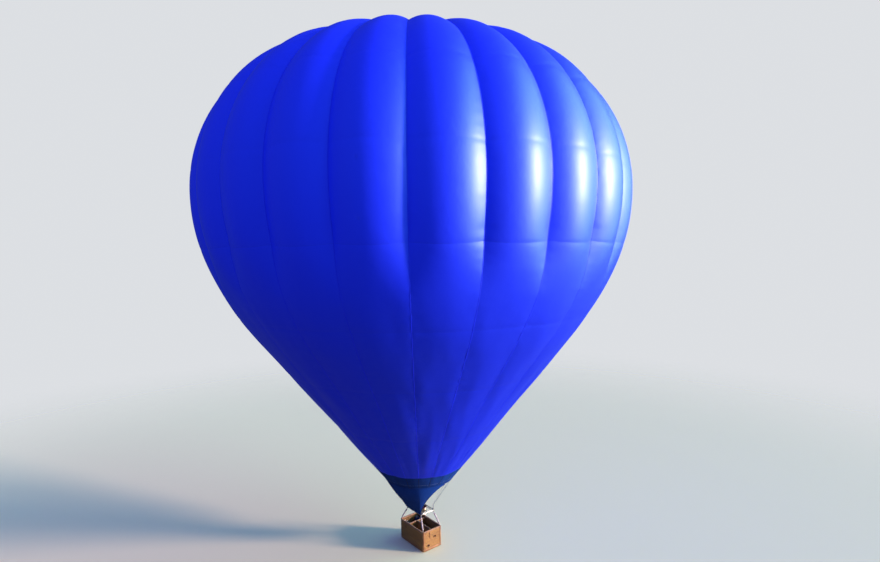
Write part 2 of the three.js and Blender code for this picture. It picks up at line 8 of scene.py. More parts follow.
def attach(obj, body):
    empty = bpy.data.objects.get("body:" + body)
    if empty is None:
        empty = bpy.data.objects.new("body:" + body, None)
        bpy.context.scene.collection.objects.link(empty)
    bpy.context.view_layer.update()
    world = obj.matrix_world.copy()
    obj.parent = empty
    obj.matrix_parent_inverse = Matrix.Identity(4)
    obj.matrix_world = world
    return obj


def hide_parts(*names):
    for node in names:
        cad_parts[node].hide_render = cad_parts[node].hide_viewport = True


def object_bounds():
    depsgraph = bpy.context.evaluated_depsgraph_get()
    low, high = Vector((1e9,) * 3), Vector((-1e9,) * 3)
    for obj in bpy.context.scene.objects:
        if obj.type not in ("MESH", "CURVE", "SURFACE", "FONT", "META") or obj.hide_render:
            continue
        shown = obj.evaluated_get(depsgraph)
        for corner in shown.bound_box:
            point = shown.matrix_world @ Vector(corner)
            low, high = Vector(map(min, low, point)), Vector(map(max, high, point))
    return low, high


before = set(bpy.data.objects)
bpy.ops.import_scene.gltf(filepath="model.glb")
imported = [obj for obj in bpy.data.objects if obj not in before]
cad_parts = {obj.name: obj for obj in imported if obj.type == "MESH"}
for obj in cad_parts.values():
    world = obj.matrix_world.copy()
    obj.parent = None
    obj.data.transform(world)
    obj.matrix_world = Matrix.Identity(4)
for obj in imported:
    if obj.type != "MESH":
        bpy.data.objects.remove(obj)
cad_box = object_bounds()

# Camera. It hangs level with the envelope's lower half, 28.6 m from the balloon's axis, off the
# basket's front right corner. It looks a little to the right of the axis and a little down, and
# leans slightly, as the photograph does.
PHOTO_WIDTH = 880
FOCAL_PIXELS = 538
STAND_AZIMUTH = math.radians(53.9)
STAND_DISTANCE = 28.6
STAND_HEIGHT = -2.8
AIM_RIGHT = math.radians(2.5)
AIM_DOWN = math.radians(3.09)
LEAN = math.radians(0.82)

camera = bpy.data.objects.new("camera", bpy.data.cameras.new("camera"))
bpy.context.scene.collection.objects.link(camera)
bpy.context.scene.camera = camera
camera.data.lens = camera.data.sensor_width * FOCAL_PIXELS / PHOTO_WIDTH
camera.data.clip_start = 0.5
camera.data.clip_end = 2000
heading = Matrix.Rotation(STAND_AZIMUTH - AIM_RIGHT, 4, "Z")
tilt = Matrix.Rotation(math.pi / 2 - AIM_DOWN, 4, "X")
roll = Matrix.Rotation(-LEAN, 4, "Z")
stand = Vector((math.sin(STAND_AZIMUTH), -math.cos(STAND_AZIMUTH), 0)) * STAND_DISTANCE
stand.z = STAND_HEIGHT
camera.matrix_world = Matrix.Translation(stand) @ heading @ tilt @ roll


# Floor and light. The floor is a wide pale sheet just under the runners that thins out into the
# backdrop. One low warm lamp stands on the right, as the evening sun does in the photograph, and
# a pale dome fills the shade.
class Link:
    """One output socket of a finish. Sums and products with it add Math nodes."""

    def __init__(self, finish, socket):
        self.finish = finish
        self.socket = socket

    def math(self, operation, *values, clamp=False):
        settings = {"operation": operation, "use_clamp": clamp}
        return self.finish.node("Math", settings, dict(enumerate(values)))

    def __add__(self, other):
        return self.math("ADD", self, other)

    def __sub__(self, other):
        return self.math("SUBTRACT", self, other)

    def __rsub__(self, other):
        return self.math("SUBTRACT", other, self)

    def __mul__(self, other):
        return self.math("MULTIPLY", self, other)

    def __truediv__(self, other):
        return self.math("DIVIDE", self, other)

    def __rtruediv__(self, other):
        return self.math("DIVIDE", other, self)

    def __pow__(self, other):
        return self.math("POWER", self, other)

    def __rpow__(self, other):
        return self.math("POWER", other, self)

    __radd__ = __add__
    __rmul__ = __mul__

    def fract(self):
        return self.math("FRACT", self)

    def floor(self):
        return self.math("FLOOR", self)

    def absolute(self):
        return self.math("ABSOLUTE", self)

    def sine(self):
        return self.math("SINE", self)

    def clamped(self):
        return self.math("ADD", self, 0.0, clamp=True)

    def step(self, low, high):
        """0 below low and 1 above high, with a smooth change between them."""
        ranged = {"Value": self, "From Min": low, "From Max": high}
        return self.finish.node("MapRange", {"interpolation_type": "SMOOTHSTEP"}, ranged)


class Finish:
    """A material made of nodes, or the light of a world."""

    def __init__(self, name, world=None):
        self.material = world or bpy.data.materials.new(name)
        self.material.use_nodes = True
        self.tree = self.material.node_tree

    def first(self, kind):
        return next(node for node in self.tree.nodes if node.type == kind)

    def node(self, kind, settings=None, inputs=None, output=0):
        node = self.tree.nodes.new("ShaderNode" + kind)
        for name, value in (settings or {}).items():
            if name == "stops":
                ramp = node.color_ramp.elements
                while len(ramp) < len(value):
                    ramp.new(0.5)
                for element, (place, colour) in zip(ramp, value):
                    element.position = place
                    element.color = (*colour, 1)
            else:
                setattr(node, name, value)
        for key, value in (inputs or {}).items():
            self.feed(node.inputs[key], value)
        return Link(self, node.outputs[output])

    def feed(self, socket, value):
        if isinstance(value, Link):
            self.tree.links.new(value.socket, socket)
        elif socket.type == "RGBA" and len(value) == 3:
            socket.default_value = (*value, 1)
        else:
            socket.default_value = value

    def set(self, **values):
        """Sets sockets of the surface: roughness=0.4 sets Roughness, base_color sets Base Color."""
        for name, value in values.items():
            words = name.replace("_", " ").title().replace("Ior", "IOR")
            self.feed(self.first("BSDF_PRINCIPLED").inputs[words], value)

    def place(self):
        return self.node("TexCoord", output=3)

    def axes(self, vector):
        parts = self.node("SeparateXYZ", inputs={"Vector": vector}).socket.node.outputs
        return [Link(self, part) for part in parts]

    def uv(self):
        """Metres across and along the piece."""
        return self.axes(self.node("TexCoord", output=2))[:2]

    def vector(self, x=0.0, y=0.0, z=0.0):
        return self.node("CombineXYZ", inputs={"X": x, "Y": y, "Z": z})

    def noise(self, scale, detail=2.0, roughness=0.5, at=None):
        values = {"Vector": at or self.place(), "Scale": scale, "Detail": detail, "Roughness": roughness}
        return self.node("TexNoise", inputs=values)

    def scatter(self, x, y, z=0.0):
        """One random number for each set of whole values."""
        return self.node("TexWhiteNoise", {"noise_dimensions": "3D"}, {"Vector": self.vector(x, y, z)})

    def threads(self, pitch, low, high):
        """A thread at each multiple of the pitch, across and along the piece."""
        return [((place / pitch).fract() - 0.5).absolute().step(low, high) for place in self.uv()]

    def mix(self, factor, a, b):
        return self.node("Mix", {"data_type": "RGBA"}, {0: factor, 6: a, 7: b}, output=2)

    def ramp(self, factor, *stops):
        return self.node("ValToRGB", {"stops": stops}, {"Fac": factor})

    def bump(self, height, distance, strength=1.0, normal=None):
        values = {"Height": height, "Distance": distance, "Strength": strength}
        if normal is not None:
            values["Normal"] = normal
        return self.node("Bump", inputs=values)


FLOOR_RADIUS = 75
FLOOR_UNDER = 0.002
FLOOR_SOLID = 24
FLOOR_GONE = 60
FLOOR_PAINT = (0.87, 0.80, 0.47)
FLOOR_BOUNCE = (0.16, 0.13, 0.07)
FLOOR_PAINTED_FILL_NEAR = (0.85, 0.68, 0.20)
FLOOR_MIRRORED = (0.10, 0.10, 0.08)
BACKDROP = (0.72, 0.74, 0.77)
DOME = (0.19, 0.27, 0.80)
DOME_BELOW = (0.13, 0.14, 0.17)
DOME_MIRRORED = (0.03, 0.05, 0.12)
LAMP_COLOUR = (1.0, 0.73, 0.76)
LAMP_STRENGTH = 3.75
LAMP_SIZE = 7
LAMP_AZIMUTH = 41.9
LAMP_HEIGHTS = (4, 14)
GLOW_COLOUR = (0.44, 0.97, 1.0)
GLOW_STRENGTH = 2.75
GLOW_SIZE = 75
GLOW_AZIMUTH = 55
GLOW_HEIGHT = 16

floor_mesh = bmesh.new()
bmesh.ops.create_circle(floor_mesh, cap_ends=True, segments=128, radius=FLOOR_RADIUS)
bmesh.ops.translate(floor_mesh, verts=floor_mesh.verts, vec=(0, 0, cad_box[0].z - FLOOR_UNDER))
floor_data = bpy.data.meshes.new("floor")
floor_mesh.to_mesh(floor_data)
floor_mesh.free()
floor = bpy.data.objects.new("floor", floor_data)
bpy.context.scene.collection.objects.link(floor)

floor_finish = Finish("floor_paint")
# Only camera rays see the floor's paint. Other rays see painted light: a darker floor in reflections and in
# bounced light, and near the middle a bright warm patch, a painted pool of fill light that lights the
# basket's shaded side.
seen = floor_finish.node("LightPath", output=0)
mirrored = floor_finish.node("LightPath", output=3)
east, north, _ = floor_finish.axes(floor_finish.place())
from_middle = (east * east + north * north) ** 0.5
bounced = floor_finish.mix(from_middle.step(1.5, 6.0), FLOOR_PAINTED_FILL_NEAR, FLOOR_BOUNCE)
unseen = floor_finish.mix(mirrored, bounced, FLOOR_MIRRORED)
paint = floor_finish.mix(seen, unseen, FLOOR_PAINT)
floor_finish.set(base_color=paint, roughness=0.85, specular_ior_level=0.2)
painted = Link(floor_finish, floor_finish.first("BSDF_PRINCIPLED").outputs[0])
clear = floor_finish.node("BsdfTransparent")
faded = {0: from_middle.step(FLOOR_SOLID, FLOOR_GONE), 1: painted, 2: clear}
surface = floor_finish.first("OUTPUT_MATERIAL").inputs["Surface"]
floor_finish.feed(surface, floor_finish.node("MixShader", inputs=faded))
floor_data.materials.append(floor_finish.material)

world = bpy.data.worlds.new("studio")
bpy.context.scene.world = world
studio = Finish("studio", world)
_, _, upward = studio.axes(studio.node("TexCoord", output=0))
dome = studio.mix(upward.step(-0.25, 0.15), DOME_BELOW, DOME)
dome = studio.mix(studio.node("LightPath", output=3), dome, DOME_MIRRORED)
light = studio.mix(studio.node("LightPath", output=0), dome, BACKDROP)
studio.feed(studio.first("BACKGROUND").inputs["Color"], light)


def hang_lamp(name, colour, strength, size, azimuth, height):
    """A lamp as wide as size, at an azimuth and a height, all three in degrees."""
    lamp = bpy.data.objects.new(name, bpy.data.lights.new(name, "SUN"))
    lamp.data.energy = strength
    lamp.data.color = colour
    lamp.data.angle = math.radians(size)
    azimuth, height = math.radians(azimuth), math.radians(height)
    toward = Vector((math.cos(azimuth), math.sin(azimuth), math.tan(height)))
    lamp.rotation_mode = "QUATERNION"
    lamp.rotation_quaternion = toward.to_track_quat("Z", "Y")
    bpy.context.scene.collection.objects.link(lamp)


for name, height in zip(("lamp_low", "lamp_high"), LAMP_HEIGHTS):
    hang_lamp(name, LAMP_COLOUR, LAMP_STRENGTH, LAMP_SIZE, LAMP_AZIMUTH, height)
hang_lamp("glow", GLOW_COLOUR, GLOW_STRENGTH, GLOW_SIZE, GLOW_AZIMUTH, GLOW_HEIGHT)
bpy.context.scene.view_settings.view_transform = "Standard"


# Envelope. Ripstop nylon with a satin coating, cut as 24 gores of panels 3.6 m tall and sewn edge
# to edge. The air inside bulges each gore out between its two load tapes, and each panel a little
# between its seams. Low down the gores lie nearly flat, with a few slack folds.
GORES = 24
TURN = 2 * math.pi
GORE_TURN = TURN / GORES
WIDEST = 10.8
UPPER_RADIUS = 7.42
UPPER_TURN = math.radians(66.5)
LOWER_ARCS = ((9.14, math.radians(24.2)), (15.3, math.radians(14.1)))
LOBE_DEPTH = 0.035
LOBE_FADE_FROM = -1.9
LOBE_FADE_TO = -4.8
LOBE_LEFT = 0.10
MOUTH_Z = -14.8
BAND_HEIGHT = 1.02
PANEL = 3.6
FIRST_SEAM = 1.036
PANEL_BULGE = 0.010
PUCKER_DEPTH = 0.010
PUCKER_REACH = 0.09
FOLDS_ROUND = 6.5
FOLD_DEPTH = 0.006
FOLD_DEPTH_SLACK = 0.046
CREASES_ROUND = 15.7
CREASE_DEPTH = 0.003
CREASE_DEPTH_SLACK = 0.011
GORE_STEPS = 16
ROW = 0.08
BLUE = (0.002, 0.010, 0.95)
THREAD_BLUE = (0.002, 0.007, 0.5)
PAINTED_GLOW = (0.0, 0.0008, 0.16)
PAINTED_GLOW_LOW = (0.0, 0.0004, 0.10)
CONE_PAINTED_SHADE = (0.0015, 0.006, 0.60)
RIPSTOP_PITCH = 0.008
SECTORS = ("right", "back", "left")
SECTOR_GORES = GORES // len(SECTORS)

UPPER_CENTRE = WIDEST - UPPER_RADIUS
UPPER_END = UPPER_RADIUS * UPPER_TURN
CROWN_RADIUS = UPPER_CENTRE / math.cos(UPPER_TURN) + UPPER_RADIUS
CROWN_CENTRE = -UPPER_CENTRE * math.tan(UPPER_TURN)
VENT_RADIUS = 2.5


def crown_length(radius):
    """The length along the skin to a circle of the crown."""
    return UPPER_END + CROWN_RADIUS * (math.acos(radius / CROWN_RADIUS) - UPPER_TURN)


def skin(length):
    """Radius, height and outward normal on a lobe's crest, at a length along the skin above the
    widest circle."""
    if length >= 0:
        turn = length / UPPER_RADIUS
        centre, height, radius = UPPER_CENTRE, 0, UPPER_RADIUS
        if length > UPPER_END:
            turn = UPPER_TURN + (length - UPPER_END) / CROWN_RADIUS
            centre, height, radius = 0, CROWN_CENTRE, CROWN_RADIUS
        out, up = math.cos(turn), math.sin(turn)
        return centre + radius * out, height + radius * up, out, up
    left = -length
    turn = 0
    r, z = WIDEST, 0
    for radius, arc in LOWER_ARCS:
        centre, height = r - radius * math.cos(turn), z + radius * math.sin(turn)
        here = min(left, radius * arc)
        turn += here / radius
        left -= here
        r, z = centre + radius * math.cos(turn), height - radius * math.sin(turn)
    out, up = math.cos(turn), -math.sin(turn)
    return r + left * up, z - left * out, out, up


CONE_START = -sum(radius * arc for radius, arc in LOWER_ARCS)
CONE_TURN = sum(arc for _, arc in LOWER_ARCS)
MOUTH = CONE_START + (MOUTH_Z - skin(CONE_START)[1]) / math.cos(CONE_TURN)
BAND_TOP = MOUTH + BAND_HEIGHT
VENT_EDGE = crown_length(VENT_RADIUS)
SPLIT = FIRST_SEAM - PANEL


def smooth(value, low, high):
    share = min(1, max(0, (value - low) / (high - low)))
    return share * share * (3 - 2 * share)


def seam_depth(r, z):
    """How far the seams lie inside the crests."""
    fade = 1 - (1 - LOBE_LEFT) * smooth(-z, -LOBE_FADE_FROM, -LOBE_FADE_TO)
    return LOBE_DEPTH * r * fade * smooth(z, MOUTH_Z, MOUTH_Z + BAND_HEIGHT)


def from_crest(angle):
    """0 on a lobe's crest and 1 on a seam."""
    return 2 * abs(angle / GORE_TURN - round(angle / GORE_TURN))


def inside(angle, length, depth):
    """A point at a depth inside the crests' skin."""
    r, z, out, up = skin(length)
    level = r - depth * out
    return Vector((level * math.cos(angle), level * math.sin(angle), z - depth * up))


def noise_round(angle, radius, along):
    """Noise that closes up after a full turn."""
    return noise.noise(Vector((radius * math.cos(angle), radius * math.sin(angle), along)))


def fabric_point(angle, length, lift=0):
    """A point of the blown-up fabric, with its puckers beside the tapes and its slack folds."""
    r, z, _, _ = skin(length)
    beside = from_crest(angle)
    depth = seam_depth(r, z) * beside**2
    panel = (length - FIRST_SEAM) / PANEL
    across = 2 * abs(panel - math.floor(panel) - 0.5)
    depth += PANEL_BULGE * across**18 * smooth(length, BAND_TOP, BAND_TOP + 2)
    from_tape = (1 - beside) * math.pi * r / GORES / PUCKER_REACH
    pucker = noise.noise(Vector((length * 4.2, math.floor(angle / GORE_TURN) * 7.3, 0.5)))
    depth += PUCKER_DEPTH * pucker * from_tape * math.exp(1 - from_tape) * smooth(r, 1.9, 4)
    slack = smooth(-z, 2.3, 6.5) * smooth(z, MOUTH_Z - 0.2, MOUTH_Z + 1.8)
    fold = noise_round(angle, FOLDS_ROUND, length * 0.33 + 3.1)
    crease = noise_round(angle + length * 0.016, CREASES_ROUND, length * 0.5 + 9.7)
    depth += (FOLD_DEPTH + FOLD_DEPTH_SLACK * slack) * fold
    depth += (CREASE_DEPTH + CREASE_DEPTH_SLACK * slack) * crease
    return inside(angle, length, depth - lift)


def spread(low, high, count):
    """Evenly spaced values from low to high."""
    return [low + (high - low) * i / count for i in range(count + 1)]


def gore_steps(count):
    """Angles across one gore, closer together beside its seams, as shares from -0.5 to 0.5."""
    return [0.5 * math.sin(math.pi * (i / count - 0.5)) for i in range(count + 1)]


def grid_of(across, along, place, size=None):
    """A sheet with a vertex at place(a, b) for each a across and b along. size(a, b) gives the
    metres across and along the cloth for its weave."""
    sheet = bmesh.new()
    weave = sheet.loops.layers.uv.new("weave")
    columns, rows = len(across) - 1, len(along) - 1
    bmesh.ops.create_grid(sheet, x_segments=columns, y_segments=rows, size=0.5)
    steps = {}
    for vert in sheet.verts:
        a = across[round((vert.co.x + 0.5) * columns)]
        b = along[round((vert.co.y + 0.5) * rows)]
        steps[vert] = (a, b)
    for face in sheet.faces:
        for loop in face.loops:
            a, b = steps[loop.vert]
            loop[weave].uv = size(a, b) if size else (a, b)
    for vert, (a, b) in steps.items():
        vert.co = place(a, b)
    return sheet


def cloth_area(mesh):
    return sum(face.calc_area() for face in mesh.faces)


def piece(name, mesh, finish, slot, *solids, body="balloon"):
    """Makes a finished mesh one piece of the balloon, in place of the solids named."""
    data = bpy.data.meshes.new(name)
    for face in mesh.faces:
        face.smooth = True
    mesh.to_mesh(data)
    mesh.free()
    made = bpy.data.objects.new(name, data)
    bpy.context.scene.collection.objects.link(made)
    data.materials.append(finish.material)
    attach(made, body)
    if solids:
        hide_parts(*solids)
    return made


fabric = Finish("envelope_fabric")
across, along = fabric.uv()
panel_place = (along - FIRST_SEAM) / PANEL
from_seam = ((panel_place + 0.5).fract() - 0.5).absolute() * PANEL
seam_line = 1 - from_seam.step(0.010, 0.022)
dye = fabric.scatter(panel_place.floor(), (across / 2.83).floor())
tone = dye * 0.05 + fabric.noise(0.35, 3.0) * 0.1
_, _, height = fabric.axes(fabric.place())
# Below the widest circle the cloth darkens, fully so 8 m down: painted shade on the lower cone.
blue_cloth = fabric.mix(tone, fabric.mix(height.step(-8, 0), CONE_PAINTED_SHADE, BLUE), THREAD_BLUE)
ripstop = across.math("MAXIMUM", *fabric.threads(RIPSTOP_PITCH, 0.40, 0.47))
crinkle = fabric.noise(2.2, 4.0, 0.55)
fabric.set(
    base_color=fabric.mix(seam_line * 0.2, blue_cloth, THREAD_BLUE),
    roughness=0.50 + crinkle * 0.08,
    normal=fabric.bump(crinkle, 0.05, 0.17, fabric.bump(ripstop, 0.0002, 0.25)),
    ior=1.6,
    specular_ior_level=1.0,
    specular_tint=(0.28, 0.72, 1.0),
    coat_weight=0.36 + height.step(-4.2, -2.2) * 0.16,
    coat_roughness=0.38,
    coat_ior=1.45,
    # The cloth glows with a faint blue emission, weaker low down: a painted glow that stands in for light
    # shining through the cloth.
    emission_color=fabric.mix(height.step(-12, 3), PAINTED_GLOW_LOW, PAINTED_GLOW),
    emission_strength=1.0,
)


def panel_lengths(low, high):
    """Lengths along the skin from low to high with a row on each panel seam."""
    lengths = spread(low, high, round((high - low) / ROW))
    for seam in (FIRST_SEAM + PANEL * k for k in range(-5, 4)):
        if low < seam < high:
            nearest = min(range(len(lengths)), key=lambda i: abs(lengths[i] - seam))
            lengths[nearest] = seam
    return lengths


def envelope_sheet(name, sector, low, high, rings):
    """The gores of one sector between two lengths along the skin."""
    start = GORE_TURN * (sector * SECTOR_GORES + 0.5)
    turns = [start]
    for gore in range(SECTOR_GORES):
        middle = start + GORE_TURN * (gore + 0.5)
        turns += [middle + GORE_TURN * share for share in gore_steps(GORE_STEPS)[1:]]
    middle = start + GORE_TURN * SECTOR_GORES / 2
    lengths = panel_lengths(low, high)
    mesh = grid_of(turns, lengths, fabric_point, lambda a, b: ((a - middle) * skin(b)[0], b))
    width = SECTOR_GORES * GORE_TURN * max(skin(low)[0], skin(high)[0], WIDEST if low < 0 < high else 0)
    area = min(cloth_area(mesh), width * (high - low))
    solids = [f"envelope_{ring}_panels" for ring in rings]
    sheet = piece(name, mesh, fabric, "envelope_fabric", *solids)
    high - low


for sector, side in enumerate(SECTORS):
    upper = ("crown", "upper", "shoulder", "equator")
    lower = ("lower", "cone", "taper", "throat")
    envelope_sheet(f"envelope_top_{side}", sector, SPLIT, VENT_EDGE, upper)
    envelope_sheet(f"envelope_cone_{side}", sector, BAND_TOP, SPLIT, lower)


# Load tapes. Polyester webbing 25 mm wide, sewn over each of the 24 gore seams from the mouth to
# the vent. They carry the load, so they are drawn tight in the valleys between the lobes.
TAPE_WIDTH = 0.025
TAPE_THICKNESS = 0.0025
TAPE_LIFT = 0.009
TAPE_LIFT_FLAT = 0.003
TAPE_ROW = 0.15
RIB_PITCH = 0.0035
WEBBING_BLUE = (0.002, 0.010, 0.90)
WEBBING_SHADE = (0.002, 0.007, 0.60)
WEBBING_PAINTED_GLOW = (0.0, 0.0005, 0.08)
SEAM_ANGLES = [GORE_TURN * (k + 0.5) for k in range(GORES)]


def merged(meshes):
    """One mesh of several."""
    whole = bmesh.new()
    for mesh in meshes:
        part = bpy.data.meshes.new("part")
        mesh.to_mesh(part)
        mesh.free()
        whole.from_mesh(part)
        bpy.data.meshes.remove(part)
    return whole


def lengths_along(points):
    lengths = [0.0]
    for a, b in zip(points, points[1:]):
        lengths.append(lengths[-1] + (b - a).length)
    return lengths


def ribbon(points, side, width):
    """A flat strip along a row of points, with its width along side."""
    lengths = lengths_along(points)

    def place(share, i):
        return points[i] + side * share * width

    return grid_of((-0.5, 0, 0.5), range(len(points)), place, lambda a, i: (a * width, lengths[i]))


def thicken(made, thickness, offset=0.0):
    wall = made.modifiers.new("wall", "SOLIDIFY")
    wall.thickness = thickness
    wall.offset = offset


def sideways(out):
    """The level direction to the left of another."""
    return Vector((-out.y, out.x, 0))


def around(angle):
    """The directions outwards and sideways at an angle about the balloon's axis."""
    out = Vector((math.cos(angle), math.sin(angle), 0))
    return out, sideways(out)


def webbing_look(finish, light, dark):
    """The ribs, the wear and the colour of webbing."""
    ribs = (finish.uv()[1] * (TURN / RIB_PITCH)).sine()
    worn = finish.noise(6.0, 3.0)
    return ribs, worn, finish.mix(worn * 0.5 + ribs * 0.08, light, dark)


webbing = Finish("tape_webbing")
across, along = webbing.uv()
ribs, worn, webbing_colour = webbing_look(webbing, WEBBING_BLUE, WEBBING_SHADE)
edges = across.absolute().step(0.0095, 0.011)
dashes = (along / 0.006).fract().step(0.3, 0.4)
stitches = dashes * (1 - (across.absolute() - 0.008).absolute().step(0.0006, 0.0012))
webbing.set(
    base_color=webbing.mix(stitches * 0.6, webbing_colour, BLUE),
    roughness=0.62 + worn * 0.12,
    normal=webbing.bump(ribs * 0.5 + edges + stitches, 0.0006, 0.7),
    specular_ior_level=0.9,
    specular_tint=(0.3, 0.65, 1.0),
    coat_weight=0.45,
    coat_roughness=0.38,
    # The webbing glows faintly blue too: a painted glow like the cloth's.
    emission_color=WEBBING_PAINTED_GLOW,
    emission_strength=1.0,
)

tape_lengths = spread(BAND_TOP, VENT_EDGE, round((VENT_EDGE - BAND_TOP) / TAPE_ROW))
tape_lifts = []
for length in tape_lengths:
    valley = seam_depth(*skin(length)[:2])
    tape_lifts.append(TAPE_LIFT_FLAT + (TAPE_LIFT - TAPE_LIFT_FLAT) * valley / (LOBE_DEPTH * WIDEST))
tapes = []
for angle in SEAM_ANGLES:
    path = [fabric_point(angle, length, lift) for length, lift in zip(tape_lengths, tape_lifts)]
    tapes.append(ribbon(path, around(angle)[1], TAPE_WIDTH))
thicken(piece("envelope_load_tapes", merged(tapes), webbing, "load_tape"), TAPE_THICKNESS)


# Crown. The vent is a hole 5 m across, closed from inside by the parachute valve, a disc of the
# envelope's cloth that the warm air presses against 24 tapes. The tapes meet at an aluminium ring.
VALVE_RADIUS = 2.9
VALVE_UNDER = 0.018
VALVE_TUCK = 0.012
VALVE_WRINKLE = 0.004
VALVE_HEM = 0.006
VENT_HEM = 0.009
CROWN_RING_RADIUS = 0.14
CROWN_RING_BAR = 0.018
CROWN_RING_Z = CROWN_CENTRE + CROWN_RADIUS + 0.010
CROWN_TAPE_WIDTH = 0.026
CROWN_TAPE_THICKNESS = 0.003
CROWN_TAPE_UNDER = 0.004
ALLOY_COLOUR = (0.62, 0.62, 0.64)
ALLOY_SCUFFED = (0.36, 0.36, 0.37)
UP = Vector((0, 0, 1))


def full_turn(count):
    """Angles of one turn, without the last."""
    return spread(0, TURN, count)[:-1]


def gore_turns(count):
    """Angles of one turn with count steps to a gore, without the last."""
    return [GORE_TURN * (k + share) for k in range(GORES) for share in gore_steps(count)[:-1]]


def joined(mesh, reach=1e-6, fill=False):
    """Joins the edges of a mesh that meet, fills its open ends and turns its faces outwards."""
    bmesh.ops.remove_doubles(mesh, verts=mesh.verts, dist=reach)
    if fill:
        bmesh.ops.holes_fill(mesh, edges=[edge for edge in mesh.edges if edge.is_boundary], sides=0)
    bmesh.ops.recalc_face_normals(mesh, faces=mesh.faces)
    return mesh


def tube(path, radius, sides=8, closed=False):
    """A round tube along a row of points. radius may be a list, one for each point."""
    radii = radius if isinstance(radius, list) else [radius] * len(path)
    if closed:
        path, radii = path + path[:1], radii + radii[:1]
    count = len(path)
    heads = []
    for i in range(count):
        before = path[i - 1] if i else path[-2 if closed else 0]
        after = path[i + 1] if i < count - 1 else path[1 if closed else -1]
        heads.append((after - before).normalized())
    normal = heads[0].orthogonal().normalized()
    frames = []
    for head in heads:
        normal = (normal - head * normal.dot(head)).normalized()
        frames.append((normal, head.cross(normal)))
    twist = 0.0
    if closed:
        twist = math.atan2(frames[-1][0].dot(frames[0][1]), frames[-1][0].dot(frames[0][0]))
    lengths = lengths_along(path)

    def place(turn, i):
        angle = turn - twist * i / (count - 1)
        u, v = frames[i]
        return path[i] + (u * math.cos(angle) + v * math.sin(angle)) * radii[i]

    turns = spread(0, TURN, sides)
    mesh = grid_of(turns, range(count), place, lambda a, i: (a / TURN, lengths[i]))
    return joined(mesh, fill=not closed)


def turned(profile, steps=32):
    """A solid turned about Z from a profile of (radius, height) points."""
    mesh = bmesh.new()
    verts = [mesh.verts.new((max(r, 0), 0, z)) for r, z in profile]
    edges = [mesh.edges.new(pair) for pair in zip(verts, verts[1:])]
    about_z = {"cent": (0, 0, 0), "axis": (0, 0, 1), "angle": TURN, "steps": steps}
    bmesh.ops.spin(mesh, geom=edges, use_merge=True, **about_z)
    return joined(mesh)


def oval(half_width, half_height, count, power=1.0):
    """Points of an oval, or with a power under 1 of a rounded oblong."""
    points = []
    for turn in full_turn(count):
        c, s = math.cos(turn), math.sin(turn)
        x, y = half_width * abs(c) ** power, half_height * abs(s) ** power
        points.append((math.copysign(x, c), math.copysign(y, s)))
    return points


def valve_point(turn, radius):
    length = crown_length(radius)
    depth = seam_depth(*skin(length)[:2]) * from_crest(turn) ** 2 + VALVE_UNDER
    depth += VALVE_TUCK * smooth(radius, 2.35, 2.6)
    depth += VALVE_WRINKLE * noise_round(turn, radius * 2.5, 4.4) * smooth(radius, 0, 0.4)
    return inside(turn, length, depth)


def vent_point(turn):
    return inside(turn, VENT_EDGE, seam_depth(*skin(VENT_EDGE)[:2]) * from_crest(turn) ** 2 - 0.002)


vent_hem = tube([vent_point(turn) for turn in gore_turns(12)], VENT_HEM, closed=True)
piece("vent_hem", vent_hem, webbing, "load_tape")

valve_turns = gore_turns(8)
valve_turns.append(valve_turns[0] + TURN)
valve_mesh = grid_of(valve_turns, spread(0, VALVE_RADIUS, 35), valve_point, lambda a, b: (a * b, b))
valve_area = cloth_area(valve_mesh)
bmesh.ops.remove_doubles(valve_mesh, verts=valve_mesh.verts, dist=1e-5)
valve = piece("valve_cloth", valve_mesh, fabric, "envelope_fabric", "parachute_valve", body="valve")
valve_edge = [valve_point(turn, VALVE_RADIUS) for turn in valve_turns[:-1]]
valve_hem = tube(valve_edge, VALVE_HEM, 6, closed=True)
valve_hem = piece("valve_hem", valve_hem, webbing, "load_tape", body="valve")

alloy = Finish("crown_ring_alloy")
east, north, height = alloy.axes(alloy.place())
ring_turn = alloy.node("Math", {"operation": "ARCTAN2"}, {0: north, 1: east})
from_axis = (east * east + north * north) ** 0.5
brushed = alloy.noise(900.0, at=alloy.vector(from_axis, height, ring_turn * 0.02))
scuffs = alloy.noise(35.0, 4.0).step(0.55, 0.7)
alloy.set(
    base_color=alloy.mix(scuffs * 0.35, ALLOY_COLOUR, ALLOY_SCUFFED),
    metallic=1.0,
    roughness=0.3 + brushed * 0.14 + scuffs * 0.15,
    normal=alloy.bump(brushed, 0.0002, 0.3),
)
bar = oval(CROWN_RING_BAR * 1.05, CROWN_RING_BAR * 0.9, 16)
bar = [(CROWN_RING_RADIUS + out, CROWN_RING_Z + up) for out, up in bar + bar[:1]]
piece("crown_ring_alloy", turned(bar, 96), alloy, "alloy", "crown_ring")

crown_tapes = []
for angle in SEAM_ANGLES:
    out, side = around(angle)
    path = []
    for length in map(crown_length, spread(VENT_RADIUS, 0.24, 20)):
        path.append(inside(angle, length, seam_depth(*skin(length)[:2]) + CROWN_TAPE_UNDER))
    last = path[-2] + UP * 0.005
    path.append(out * 0.19 + UP * (CROWN_RING_Z - 0.014))
    for turn in map(math.radians, spread(315, 45, 9)):
        reach = CROWN_RING_BAR + CROWN_TAPE_UNDER
        level = CROWN_RING_RADIUS + reach * math.cos(turn)
        path.append(out * level + UP * (CROWN_RING_Z + reach * math.sin(turn)))
    crown_tapes.append(ribbon(path + [last], side, CROWN_TAPE_WIDTH))
crown_webs = piece("crown_webs", merged(crown_tapes), webbing, "load_tape", "crown_load_tapes")
thicken(crown_webs, CROWN_TAPE_THICKNESS)


